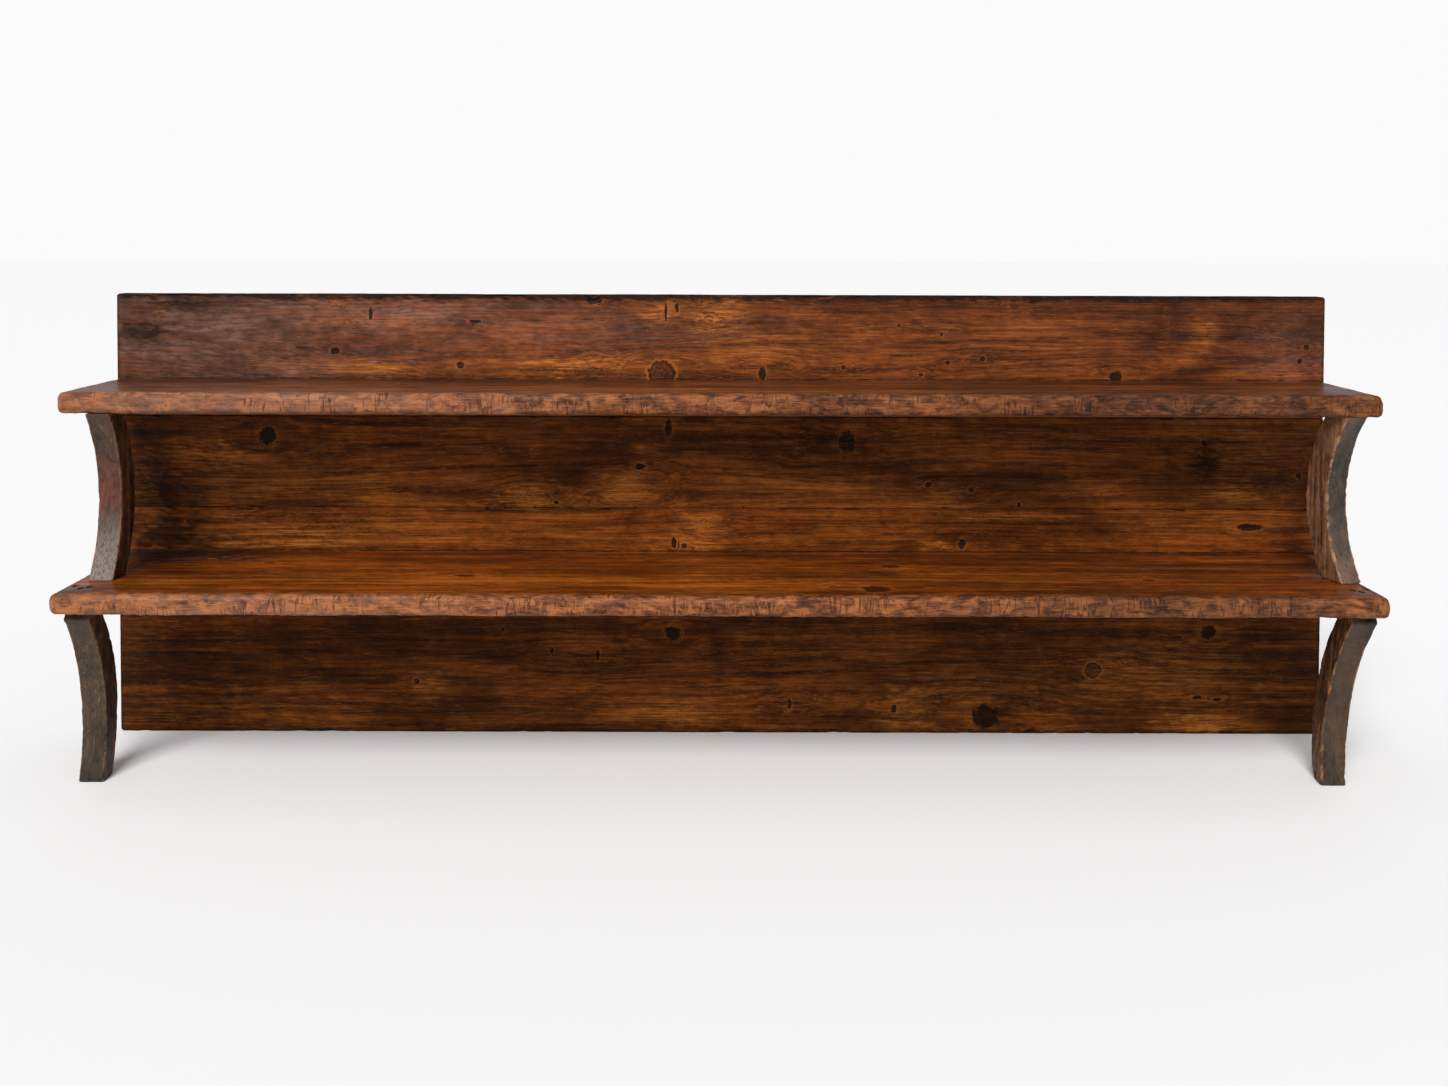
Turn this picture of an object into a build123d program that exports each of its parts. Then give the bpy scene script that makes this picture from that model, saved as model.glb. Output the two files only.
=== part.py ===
from build123d import *
import math
import os

# An old rustic church pew, hand-built from thick pine.
# Millimetres, +Z up, the pew faces -Y.  The origin is on the floor, at the middle of the
# pew's length and of its front-to-back depth.

# ---- the back: four wide boards on edge ------------------------------------------------
back_length = 2830.0
back_thickness = 32.0
board_joint_heights = (290.0, 533.0, 748.0)
back_height = 1035.0
back_corner_radius = 9.0
back_arris_radius = 4.0
tongue_height = 9.0
tongue_thickness = 10.0

# ---- the two planks that cross the front -----------------------------------------------
seat_length = 2774.0
seat_depth = 387.0
seat_thickness = 44.0
seat_top = 430.0
ledge_length = 2835.0
ledge_depth = 284.0
ledge_thickness = 47.0
ledge_top = 836.0
plank_corner_radius = 19.0
plank_nose_radius = 14.0

# ---- curved legs and brackets, sawn from plank and seen from the side as a C -----------
leg_width = 54.0
leg_left_x = -1344.5
leg_right_x = 1350.0
leg_right_foot_inset = 36.0
leg_front_forward = 273.0
leg_front_radius = 431.0
leg_front_waist = 125.0
leg_back_forward = 219.0
leg_back_radius = 394.0
leg_back_waist = 150.0
leg_relief_depth = 27.0
leg_relief_height = 20.0
bracket_width = 53.0
bracket_left_x = -1326.5
bracket_right_x = 1347.0
bracket_right_turn = 16.0
bracket_right_shift = 6.0
bracket_front_forward = 228.0
bracket_back_forward = 163.0
bracket_radius = 330.0
bracket_waist = 603.0
sawn_arris = 2.5

# ---- stub tenons on the legs and brackets ----------------------------------------------
tenon_width = 20.0
tenon_depth = 24.0
tenon_height = 25.0
mortise_spare = 1.0
leg_tenon_forward = 304.0
saw_waste = 20.0
bracket_foot_forward = 238.0
bracket_head_forward = 248.0

# ---- ledgers under the planks and battens behind the back -------------------------------
ledger_length = 2700.0
seat_ledger_height = 45.0
seat_ledger_thickness = 40.0
ledge_ledger_height = 34.0
ledge_ledger_thickness = 34.0
batten_width = 90.0
batten_thickness = 28.0
batten_bottom = 50.0
batten_top = 985.0
batten_x = (-1250.0, 0.0, 1250.0)
batten_chamfer = 5.0

# ---- hand-made square nails --------------------------------------------------------------
nail_shank = 4.0
nail_head_width = 10.0
nail_head_height = 2.5
nail_head_slope = 35.0
nail_reach_into_back = 22.0
nail_reach_into_plank = 46.0
row_nail_x = (150.0, 450.0, 750.0, 1050.0, 1345.0)
ledger_nail_x = (75.0, 375.0, 675.0, 975.0, 1300.0)
batten_nail_heights = (110.0, 240.0, 335.0, 480.0, 580.0, 715.0, 800.0, 940.0)
batten_nail_offset = 24.0
leg_nail_length = 70.0
leg_nail_sink = 5.0
leg_nail_pit_diameter = 9.0
leg_nail_head_width = 6.0
leg_nail_spots = ((-17.5, 312.0), (3.5, 332.0), (15.5, 320.0))

# ---- derived positions -------------------------------------------------------------------
total_depth = seat_depth + back_thickness + batten_thickness + nail_head_height
back_face_y = seat_depth - total_depth / 2
back_rear_y = back_face_y + back_thickness
batten_rear_y = back_rear_y + batten_thickness
seat_underside = seat_top - seat_thickness
ledge_underside = ledge_top - ledge_thickness

os.makedirs("parts", exist_ok=True)


def block(x_low, x_high, y_low, y_high, z_low, z_high):
    """A rectangular block between two corners."""
    size = (x_high - x_low, y_high - y_low, z_high - z_low)
    corner = Pos(x_low, y_low, z_low)
    return corner * Box(*size, align=(Align.MIN, Align.MIN, Align.MIN))


def forward(distance):
    """Y of a point that lies this far in front of the back's face."""
    return back_face_y - distance


def back_board(z_low, z_high, tongued, grooved):
    """One board of the back, with a tongue on its top edge and a groove in its bottom edge."""
    half = back_length / 2
    board = block(-half, half, back_face_y, back_rear_y, z_low, z_high)
    middle_y = (back_face_y + back_rear_y) / 2
    tongue_low = middle_y - tongue_thickness / 2
    tongue_high = middle_y + tongue_thickness / 2
    if not tongued:
        corners = board.edges().filter_by(Axis.Y).group_by(Axis.Z)[-1]
        board = fillet(corners, back_corner_radius)
        rim = board.faces().sort_by(Axis.Y)[0].edges().group_by(Axis.Z)[-1]
        board = fillet(rim, back_arris_radius)
    if not grooved:
        corners = board.edges().filter_by(Axis.Y).group_by(Axis.Z)[0]
        board = fillet(corners, back_corner_radius)
    if tongued:
        board += block(-half, half, tongue_low, tongue_high, z_high, z_high + tongue_height)
    if grooved:
        depth = z_low + tongue_height + mortise_spare
        board -= block(-half, half, tongue_low, tongue_high, z_low, depth)
    return board


def plank(length, depth, thickness, top):
    """A thick plank against the back, worn round along its front edge and its ends."""
    half = length / 2
    body = block(-half, half, forward(depth), back_face_y, top - thickness, top)
    front_corners = body.edges().filter_by(Axis.Z).group_by(Axis.Y)[0]
    body = fillet(front_corners, plank_corner_radius)
    rear = body.faces().sort_by(Axis.Y)[-1].edges()
    upper = body.faces().sort_by(Axis.Z)[-1].edges()
    lower = body.faces().sort_by(Axis.Z)[0].edges()
    rear_lines = [edge.center() for edge in rear]
    nosing = [
        edge
        for edge in list(upper) + list(lower)
        if all((edge.center() - spot).length > 1.0 for spot in rear_lines)
    ]
    return fillet(nosing, plank_nose_radius)


def waisted(distance, radius, waist, height):
    """How far in front of the back a sawn arc lies at a height; least at its waist."""
    return distance + radius - math.sqrt(radius**2 - (height - waist) ** 2)


def c_profile(front, back, z_low, z_high, width):
    """A C-shaped piece: two arcs hollowed toward the front, sawn through a plank."""
    middle = (z_low + z_high) / 2
    points = {}
    for name, (distance, radius, waist) in (("front", front), ("back", back)):
        for z in (z_low, middle, z_high):
            points[name, z] = (forward(waisted(distance, radius, waist, z)), z)
    front_arc = ThreePointArc(
        points["front", z_low], points["front", middle], points["front", z_high]
    )
    back_arc = ThreePointArc(
        points["back", z_low], points["back", middle], points["back", z_high]
    )
    head = Line(points["front", z_high], points["back", z_high])
    foot = Line(points["front", z_low], points["back", z_low])
    outline = Plane.YZ * make_face([front_arc, head, back_arc, foot])
    return extrude(outline, amount=width / 2, both=True)


def softened(body):
    """The sawn piece with its long curved arrises taken off."""
    curved = [edge for edge in body.edges() if edge.geom_type == GeomType.CIRCLE]
    return chamfer(curved, sawn_arris)


def tenon(distance, z_low, z_high):
    """A stub tenon, centred on the piece's width."""
    return block(
        -tenon_width / 2,
        tenon_width / 2,
        forward(distance) - tenon_depth / 2,
        forward(distance) + tenon_depth / 2,
        z_low,
        z_high,
    )


def front_leg(x_head, foot_inset):
    """A lower leg; its foot may stand nearer the middle of the pew than its head does."""
    front = (leg_front_forward, leg_front_radius, leg_front_waist)
    back = (leg_back_forward, leg_back_radius, leg_back_waist)
    blank_top = seat_underside + saw_waste
    body = softened(c_profile(front, back, -saw_waste, blank_top, leg_width))
    lean = math.degrees(math.atan2(foot_inset, seat_underside))
    head_point = (0, 0, seat_underside)
    body = Pos(*head_point) * Rot(0, lean, 0) * Pos(0, 0, -seat_underside) * body
    reach = seat_depth
    body &= block(-reach, reach, forward(reach), back_face_y, 0, seat_underside)
    relief_front = waisted(*front, seat_underside) + sawn_arris
    relief = Polyline(
        (forward(relief_front), seat_underside),
        (forward(relief_front - leg_relief_depth), seat_underside),
        (forward(relief_front), seat_underside - leg_relief_height),
        close=True,
    )
    body -= extrude(Plane.YZ * make_face(relief), amount=leg_width, both=True)
    body += tenon(leg_tenon_forward, seat_underside, seat_underside + tenon_height)
    return Pos(x_head, 0, 0) * body


def ledge_bracket(x_middle, turn, shift):
    """A bracket between seat and ledge; the turn swings its face toward the pew's end."""
    front = (bracket_front_forward, bracket_radius, bracket_waist)
    back = (bracket_back_forward, bracket_radius, bracket_waist)
    body = softened(c_profile(front, back, seat_top, ledge_underside, bracket_width))
    pivot_y = forward(bracket_foot_forward)
    body += tenon(bracket_foot_forward, seat_top - tenon_height, seat_top)
    body += tenon(bracket_head_forward, ledge_underside, ledge_underside + tenon_height)
    swing = Pos(x_middle, pivot_y + shift, 0) * Rot(0, 0, turn) * Pos(0, -pivot_y, 0)
    return swing * body


def tenon_socket(x, distance, turn, shift, z_low, z_high):
    """The mortise for one stub tenon, a little deeper than the tenon is long."""
    pivot_y = forward(bracket_foot_forward)
    hole = tenon(distance, z_low, z_high)
    return Pos(x, pivot_y + shift, 0) * Rot(0, 0, turn) * Pos(0, -pivot_y, 0) * hole


def nail(length, head_width):
    """A square nail along +Z, the underside of its low pyramid head at the origin."""
    half = nail_shank / 2
    shank = block(-half, half, -half, half, -length, 0)
    square = Rectangle(head_width, head_width)
    head = extrude(square, amount=nail_head_height, taper=nail_head_slope)
    return shank + head


def nail_bore(length):
    """The square hole that the nail's shank fills."""
    half = nail_shank / 2
    return block(-half, half, -half, half, -length, 0)


def placed(shape, seats):
    """The same shape at every seat, as one group."""
    return [seat * shape for seat in seats]


def cut_all(body, cutters):
    """The body with every cutter that reaches it taken away."""
    box = body.bounding_box()
    for cutter in cutters:
        other = cutter.bounding_box()
        apart_x = other.min.X > box.max.X or other.max.X < box.min.X
        apart_y = other.min.Y > box.max.Y or other.max.Y < box.min.Y
        apart_z = other.min.Z > box.max.Z or other.max.Z < box.min.Z
        if not (apart_x or apart_y or apart_z):
            body = body - cutter
    return body


def from_behind(x, y, z):
    """A nail's seat when it is driven forward from behind: its head faces +Y."""
    return Pos(x, y, z) * Rot(-90, 0, 0)


def from_front(x, y, z):
    """A nail's seat when it is driven backward from the front: its head faces -Y."""
    return Pos(x, y, z) * Rot(90, 0, 0)


def both_sides(places):
    """The same distances either side of the middle."""
    return [side * x for x in places for side in (-1, 1)]


# ---- nails, where each sits and the bores they leave --------------------------------------
seat_row_z = seat_top - seat_thickness / 2
ledge_row_z = ledge_top - ledge_thickness / 2
row_length = back_thickness + nail_reach_into_plank
seat_row = [from_behind(x, back_rear_y, seat_row_z) for x in both_sides(row_nail_x)]
ledge_row = [from_behind(x, back_rear_y, ledge_row_z) for x in both_sides(row_nail_x)]

batten_nail_length = batten_thickness + nail_reach_into_back
batten_row = []
for x in batten_x:
    for place, z in enumerate(batten_nail_heights):
        side = 1 if place % 2 else -1
        batten_row.append(from_behind(x + side * batten_nail_offset, batten_rear_y, z))

seat_ledger_z = seat_underside - seat_ledger_height / 2
ledge_ledger_z = ledge_underside - ledge_ledger_height / 2
seat_ledger_face = forward(seat_ledger_thickness)
ledge_ledger_face = forward(ledge_ledger_thickness)
seat_ledger_nail_length = seat_ledger_thickness + nail_reach_into_back
ledge_ledger_nail_length = ledge_ledger_thickness + nail_reach_into_back
seat_ledger_row = [
    from_front(x, seat_ledger_face, seat_ledger_z) for x in both_sides(ledger_nail_x)
]
ledge_ledger_row = [
    from_front(x, ledge_ledger_face, ledge_ledger_z) for x in both_sides(ledger_nail_x)
]

leg_nail_seats = []
for leg_x, side in ((leg_left_x, 1), (leg_right_x, -1)):
    for across, distance in leg_nail_spots:
        spot = (leg_x + side * across, forward(distance), seat_top - leg_nail_sink)
        leg_nail_seats.append(Pos(*spot))

row_bores = placed(nail_bore(row_length), seat_row + ledge_row)
batten_bores = placed(nail_bore(batten_nail_length), batten_row)
seat_ledger_bores = placed(nail_bore(seat_ledger_nail_length), seat_ledger_row)
ledge_ledger_bores = placed(nail_bore(ledge_ledger_nail_length), ledge_ledger_row)
leg_bores = placed(nail_bore(leg_nail_length), leg_nail_seats)
pit_height = leg_nail_sink * 2
pit = Pos(0, 0, pit_height / 2) * Cylinder(leg_nail_pit_diameter / 2, pit_height)
leg_nail_pits = placed(pit, leg_nail_seats)

# ---- the pieces ------------------------------------------------------------------------------
pieces = {}

heights = (0.0,) + board_joint_heights + (back_height,)
board_names = (
    "back_board_bottom",
    "back_board_lower_middle",
    "back_board_upper_middle",
    "back_board_top",
)
back_bores = row_bores + batten_bores + seat_ledger_bores + ledge_ledger_bores
for index, name in enumerate(board_names):
    tongued = name != board_names[-1]
    grooved = name != board_names[0]
    board = back_board(heights[index], heights[index + 1], tongued, grooved)
    pieces[name] = cut_all(board, back_bores)

bracket_places = (
    (bracket_left_x, 0.0, 0.0),
    (bracket_right_x, bracket_right_turn, bracket_right_shift),
)
socket_depth = tenon_height + mortise_spare
seat = plank(seat_length, seat_depth, seat_thickness, seat_top)
ledge = plank(ledge_length, ledge_depth, ledge_thickness, ledge_top)
for x, turn, shift in bracket_places:
    seat -= tenon_socket(
        x, bracket_foot_forward, turn, shift, seat_top - socket_depth, seat_top
    )
    ledge -= tenon_socket(
        x,
        bracket_head_forward,
        turn,
        shift,
        ledge_underside,
        ledge_underside + socket_depth,
    )
for x in (leg_left_x, leg_right_x):
    seat -= tenon_socket(
        x, leg_tenon_forward, 0.0, 0.0, seat_underside, seat_underside + socket_depth
    )
pieces["seat_plank"] = cut_all(seat, row_bores + leg_bores + leg_nail_pits)
pieces["ledge_plank"] = cut_all(ledge, row_bores)

left_leg = front_leg(leg_left_x, 0.0)
right_leg = front_leg(leg_right_x, leg_right_foot_inset)
pieces["left_front_leg"] = cut_all(left_leg, leg_bores)
pieces["right_front_leg"] = cut_all(right_leg, leg_bores)
pieces["left_ledge_bracket"] = ledge_bracket(*bracket_places[0])
pieces["right_ledge_bracket"] = ledge_bracket(*bracket_places[1])

half_ledger = ledger_length / 2
seat_ledger = block(
    -half_ledger,
    half_ledger,
    seat_ledger_face,
    back_face_y,
    seat_underside - seat_ledger_height,
    seat_underside,
)
ledge_ledger = block(
    -half_ledger,
    half_ledger,
    ledge_ledger_face,
    back_face_y,
    ledge_underside - ledge_ledger_height,
    ledge_underside,
)
pieces["seat_ledger"] = cut_all(seat_ledger, seat_ledger_bores)
pieces["ledge_ledger"] = cut_all(ledge_ledger, ledge_ledger_bores)

for name, x in zip(("left", "middle", "right"), batten_x):
    batten = block(
        x - batten_width / 2,
        x + batten_width / 2,
        back_rear_y,
        batten_rear_y,
        batten_bottom,
        batten_top,
    )
    rim = batten.faces().sort_by(Axis.Y)[-1].edges()
    batten = chamfer(rim, batten_chamfer)
    pieces["rear_batten_" + name] = cut_all(batten, batten_bores)

nail_groups = {
    "batten_nails": (batten_nail_length, nail_head_width, batten_row),
    "seat_row_nails": (row_length, nail_head_width, seat_row),
    "ledge_row_nails": (row_length, nail_head_width, ledge_row),
    "seat_ledger_nails": (seat_ledger_nail_length, nail_head_width, seat_ledger_row),
    "ledge_ledger_nails": (ledge_ledger_nail_length, nail_head_width, ledge_ledger_row),
    "leg_nails": (leg_nail_length, leg_nail_head_width, leg_nail_seats),
}
for name, (length, head_width, seats) in nail_groups.items():
    pieces[name] = Compound(children=placed(nail(length, head_width), seats))

for name, shape in pieces.items():
    export_step(shape, "parts/" + name + ".step")
    box = shape.bounding_box()
    size = box.max - box.min
    print(f"{name:26s} {len(shape.solids()):3d} solid(s)  {size.X:8.1f} {size.Y:7.1f} {size.Z:7.1f}")
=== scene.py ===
# %% [markdown]
# # An old pine pew, dressed over its measured frame
# The pew is a workshop piece: four wide pine boards on edge make its back, and two thick
# planks cross the front on curved legs and brackets. A measured model of it already exists,
# and it is the frame here. This lesson gives every piece its worn surface and its finish,
# and never moves or resizes what the frame says.

# %% Load the frame and list its pieces
import math

import bpy
import numpy as np
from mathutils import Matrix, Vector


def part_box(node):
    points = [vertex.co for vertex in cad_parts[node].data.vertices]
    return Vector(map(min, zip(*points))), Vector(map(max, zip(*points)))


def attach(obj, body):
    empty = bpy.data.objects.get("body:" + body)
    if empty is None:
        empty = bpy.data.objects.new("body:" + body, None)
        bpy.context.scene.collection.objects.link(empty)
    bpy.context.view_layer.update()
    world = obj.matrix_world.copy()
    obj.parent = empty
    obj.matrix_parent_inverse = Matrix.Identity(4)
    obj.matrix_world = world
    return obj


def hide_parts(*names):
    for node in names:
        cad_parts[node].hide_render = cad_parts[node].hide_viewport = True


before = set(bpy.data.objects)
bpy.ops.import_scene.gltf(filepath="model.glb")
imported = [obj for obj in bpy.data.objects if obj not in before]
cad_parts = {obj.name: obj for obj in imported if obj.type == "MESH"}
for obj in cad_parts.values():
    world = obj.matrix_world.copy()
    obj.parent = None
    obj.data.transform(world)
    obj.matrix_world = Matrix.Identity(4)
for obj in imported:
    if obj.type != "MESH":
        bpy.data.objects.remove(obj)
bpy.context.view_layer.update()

MM = 0.001
print("pieces in the frame:", sorted(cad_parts))

# %% [markdown]
# ## Where the camera stands
# A long low piece of furniture is best seen from the front at standing eye height. The
# camera stays almost level, so uprights stay upright, and the lens is shifted down to
# bring the pew into the middle of the picture.

# %% Camera
EYE = (0.00676, -2.8779, 1.1708)
TILT_DOWN = 1.62
LEAN = -0.17
LENS = 32.32
LENS_SHIFT = -0.186
camera_data = bpy.data.cameras.new("eye")
camera_data.sensor_width = 36.0
camera_data.lens = LENS
camera_data.shift_y = LENS_SHIFT
camera = bpy.data.objects.new("eye", camera_data)
camera.location = EYE
camera.rotation_euler = (math.radians(90.0 - TILT_DOWN), math.radians(LEAN), 0.0)
bpy.context.scene.collection.objects.link(camera)
bpy.context.scene.camera = camera
print("camera at", tuple(camera.location))

# %% [markdown]
# ## Skins worked out with numpy
# Every wooden piece here is a stick: a section carried along a line. The section is a
# rectangle with four rounded corners, and each station along the stick may have its own
# section, so ends can round over and edges can wear unevenly. One function gives the
# section, one closes the skin into a mesh.

# %% A rounded section at every station
CLOSEST_STATIONS = 0.3 * MM


def rounded_section(low_a, high_a, low_b, high_b, radii, sides, arc_steps):
    """A rectangle from low to high in the directions a and b, its corners quarter circles.
    All limits and radii are columns, one row per station. Going round, each side is a
    straight mix of its two ends by the fractions in sides, and each corner is its centre
    plus radius times (cosine, sine). Returns a, b, the outward normal and the distance
    from the nearest corner."""
    r0, r1, r2, r3 = radii
    runs = (
        ((low_a + r3, low_b), (high_a - r0, low_b), (0, -1)),
        ((high_a, low_b + r0), (high_a, high_b - r1), (1, 0)),
        ((high_a - r1, high_b), (low_a + r2, high_b), (0, 1)),
        ((low_a, high_b - r2), (low_a, low_b + r3), (-1, 0)),
    )
    centres = (
        (high_a - r0, low_b + r0, r0, -90),
        (high_a - r1, high_b - r1, r1, 0),
        (low_a + r2, high_b - r2, r2, 90),
        (low_a + r3, low_b + r3, r3, 180),
    )
    a, b, out_a, out_b, away = [], [], [], [], []
    for (start, end, normal), (ca, cb, radius, angle), part in zip(runs, centres, sides):
        f = np.asarray(part)[None, :]
        a.append(start[0] + (end[0] - start[0]) * f)
        b.append(start[1] + (end[1] - start[1]) * f)
        length = np.abs(end[0] - start[0]) + np.abs(end[1] - start[1])
        away.append(length * np.minimum(f, 1 - f))
        out_a.append(np.full_like(a[-1], normal[0]))
        out_b.append(np.full_like(a[-1], normal[1]))
        turn = np.radians(angle + 90 * np.linspace(0, 1, arc_steps + 1)[1:-1])[None, :]
        a.append(ca + radius * np.cos(turn))
        b.append(cb + radius * np.sin(turn))
        away.append(np.zeros_like(a[-1]))
        out_a.append(np.cos(turn) + 0 * radius)
        out_b.append(np.sin(turn) + 0 * radius)
    return [np.concatenate(part, axis=1) for part in (a, b, out_a, out_b, away)]


def lines(low, high, step, gathers=(), end_steps=()):
    """Positions from low to high, about step apart, with finer ones where asked: gathers
    holds (from, to, spacing), and end_steps holds distances in from both ends."""
    parts = [np.linspace(low, high, int(round((high - low) / step)) + 1)]
    for start, stop, fine in gathers:
        parts.append(np.arange(start, stop, fine))
    for distance in end_steps:
        parts.append(np.array([low + distance, high - distance]))
    spots = np.unique(np.concatenate(parts))
    keep = np.concatenate([[True], np.diff(spots) > CLOSEST_STATIONS])
    keep[-1] = True
    return spots[keep]


def end_fall(stations, low, high, radius):
    """How far a rounded end has fallen back at each station, as a column: the radius less
    the root of radius squared less the square of the way into the round."""
    near = np.minimum(stations - low, high - stations)
    into = np.clip(radius - near, 0, radius)
    return (radius - np.sqrt(radius**2 - into**2))[:, None]


print("section points for a plain square:",
      rounded_section(*[np.zeros((1, 1)) + v for v in (0, 1, 0, 1)],
                      [np.zeros((1, 1)) + 0.1] * 4, [(0, 1)] * 4, 3)[0].shape[1])

# %% Close a stack of sections into a skin
def skin(name, rings, values):
    """Joins ring to ring with four-sided faces. Each end is closed by a half-size ring and
    one point at its middle. Values are numbers per ring point, kept as attributes."""
    middle = [(ring.min(0) + ring.max(0)) / 2 for ring in (rings[0], rings[-1])]
    halfway = [(ring + mid) / 2 for ring, mid in zip((rings[0], rings[-1]), middle)]
    rings = np.concatenate([halfway[0][None], rings, halfway[1][None]])
    stations, around = rings.shape[:2]
    points = np.vstack([rings.reshape(-1, 3), middle])
    grid = np.arange(stations * around).reshape(stations, around)
    beside = np.roll(grid, -1, axis=1)
    quads = np.stack([grid[:-1], beside[:-1], beside[1:], grid[1:]], -1).reshape(-1, 4)
    first, last = len(points) - 2, len(points) - 1
    fans = np.concatenate([
        np.stack([beside[0], grid[0], np.full(around, first)], -1),
        np.stack([grid[-1], beside[-1], np.full(around, last)], -1),
    ])
    a, b, c = (points[quads[:, k]] for k in (0, 1, 2))
    if np.einsum("ij,ij->i", a, np.cross(b, c)).sum() < 0:
        quads, fans = quads[:, ::-1], fans[:, ::-1]
    mesh = bpy.data.meshes.new(name)
    mesh.from_pydata(points.tolist(), [], quads.tolist() + fans.tolist())
    mesh.polygons.foreach_set("use_smooth", np.ones(len(mesh.polygons), bool))
    for label, value in values.items():
        value = np.concatenate([value[:1], value, value[-1:]])
        flat = value.reshape(stations * around, -1)
        flat = np.vstack([flat, value[0].reshape(around, -1).mean(0),
                          value[-1].reshape(around, -1).mean(0)]).astype(np.float32)
        kind = ("FLOAT", "value") if flat.shape[1] == 1 else ("FLOAT_VECTOR", "vector")
        layer = mesh.attributes.new(label, kind[0], "POINT")
        layer.data.foreach_set(kind[1], flat.ravel())
    mesh.update()
    piece = bpy.data.objects.new(name, mesh)
    bpy.context.scene.collection.objects.link(piece)
    triangles = 2 * len(quads) + len(fans)
    print(f"{name}: {triangles} triangles")
    return piece


# %% [markdown]
# ## What age does to a surface
# Old hand-worked wood is never flat or straight. Long slow ripples come from the plane and
# from shrinkage, small dents from a century of knocks. Both are only taken away from the
# measured shape, never added, so the pew keeps its size. The ripples are sums of sine
# waves with seeded random lengths, which gives the same wood on every run.

# %% Ripples and dents
WAVES = 18


def ripples(points, lengths, seed):
    """Sum of sine waves with random directions and phases, their usual wavelengths along
    X, Y and Z given in metres, scaled to a spread of about one."""
    draw = np.random.default_rng(seed)
    turns = draw.normal(size=(WAVES, 3)) / np.asarray(lengths)
    phases = draw.uniform(0, 2 * math.pi, WAVES)
    total = sum(np.sin(2 * math.pi * (points @ t) + p) for t, p in zip(turns, phases))
    return total / math.sqrt(WAVES / 2)


def worn_away(points, seed, *coats):
    """Depth of wood gone at each point: the sum of depth times (1 + spread times ripples),
    and never less than nothing. A coat is (depth, spread, wavelengths)."""
    gone = sum(depth * (1 + spread * ripples(points, lengths, seed + k))
               for k, (depth, spread, lengths) in enumerate(coats))
    return np.clip(gone, 0, None)


def walk_along(stations, axis=0):
    """Points on the stick's own line, for ripples that change only along it."""
    walk = np.zeros((len(stations), 3))
    walk[:, axis] = stations
    return walk


def worn_radii(walk, usual, spread, lengths, limits, seed):
    """Radii of a stick's four long edges: usual times (1 + spread times ripples), kept
    within limits, one row per station."""
    return [np.clip(usual * (1 + spread * ripples(walk, lengths, seed + k)), *limits)[:, None]
            for k in range(4)]


def dents(points, spots):
    """Depth of every dent at each point: the deepest of depth times a smooth bowl, one at
    the dent's middle and nothing past its radius. A spot is (x, y, z, radius, depth)."""
    depth = np.zeros(points.shape[:-1])
    for x, y, z, radius, deep in spots:
        near = np.abs(points[..., 0] - x) < radius
        gap = np.linalg.norm(points[near] - (x, y, z), axis=-1) / radius
        bowl = np.clip(1 - gap**2, 0, 1) ** 2
        depth[near] = np.maximum(depth[near], deep * bowl)
    return depth


def scattered_dents(seed, count, x_reach, y, z, radius, depth):
    """Random dents along a line: x anywhere, y and z from the ranges given."""
    draw = np.random.default_rng(seed)
    return [
        (draw.uniform(-x_reach, x_reach), draw.uniform(*y), draw.uniform(*z),
         draw.uniform(*radius), draw.uniform(*depth))
        for _ in range(count)
    ]


# %% [markdown]
# ## Knots, stains and worn patches
# A knot is a branch cut across: dark, round or drop-shaped, and the grain flows round it
# like water round a stone. Stains and bare patches sit where hands, damp and candle smoke
# left them; some rows among the stains are painted shade, in corners and under the planks,
# and some pale patches are a painted sheen. They are lists of places on each board, and
# they become attributes that the finish reads: how far each point is from its nearest knot,
# how much the grain is pushed aside there, and how strong each stain, shade and sheen is.

# %% Knots and patches as numbers on the skin
KNOT_REACH = 2.6
KNOT_FADE = 0.8
NO_KNOT = 99.0
STONE_SIZE = 1.3
SMALLEST_STONE = 0.006
ALONG = 0.36


def knot_values(points, up_axis, knots):
    """For each point: the offset to its nearest knot in knot radii with the knot's
    darkness third, a fade that ends at KNOT_REACH radii, and how far the grain is pushed
    aside. The push is the height above the knot times (radius / distance) squared, as a
    stream flows round a stone, with distances along the board counted at about a third.
    A knot is (x, up, half width, half height, darkness)."""
    x, up = points[..., 0], points[..., up_axis]
    nearest = np.full(x.shape, NO_KNOT)
    offset = np.zeros(x.shape + (3,))
    push = np.zeros(x.shape)
    for kx, ku, rx, ru, dark in knots:
        across, above = (x - kx) / rx, (up - ku) / ru
        gap = np.hypot(across, above)
        closer = gap < nearest
        nearest = np.where(closer, gap, nearest)
        spot = np.stack([across, above, np.full(x.shape, dark)], -1)
        offset = np.where(closer[..., None], spot, offset)
        stone = max(ru, SMALLEST_STONE) * STONE_SIZE
        far = np.maximum(((x - kx) * ALONG) ** 2 + (up - ku) ** 2, stone**2)
        push -= (up - ku) * stone**2 / far
    fade = np.clip((KNOT_REACH - nearest) / KNOT_FADE, 0, 1)
    return {"knot": offset, "knot_near": fade, "bend": push}


def patch(points, up_axis, spots, seed):
    """Soft patches: the strongest of strength times exp(-distance squared), with distance
    in patch radii and the outline pulled about by ripples. A spot is (x, up, half width,
    half height, strength)."""
    x, up = points[..., 0], points[..., up_axis]
    drift = ripples(points, (0.09, 0.03, 0.03), seed)
    sway = ripples(points, (0.05, 0.012, 0.012), seed + 1)
    cover = np.zeros(x.shape)
    for px, pu, rx, ru, strength in spots:
        across = (x - px) / rx + 0.22 * drift
        above = (up - pu) / ru + 0.28 * sway
        cover = np.maximum(cover, strength * np.exp(-(across**2 + above**2)))
    return cover


# %% [markdown]
# ## The back: four wide boards
# Each board is 32 mm thick. Its long edges are slightly eased, so a fine dark line shows
# where two boards meet. The top board has rounded corners and a chipped upper edge, and
# the bottom one a ragged lower edge where it stands on damp floors.

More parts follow.
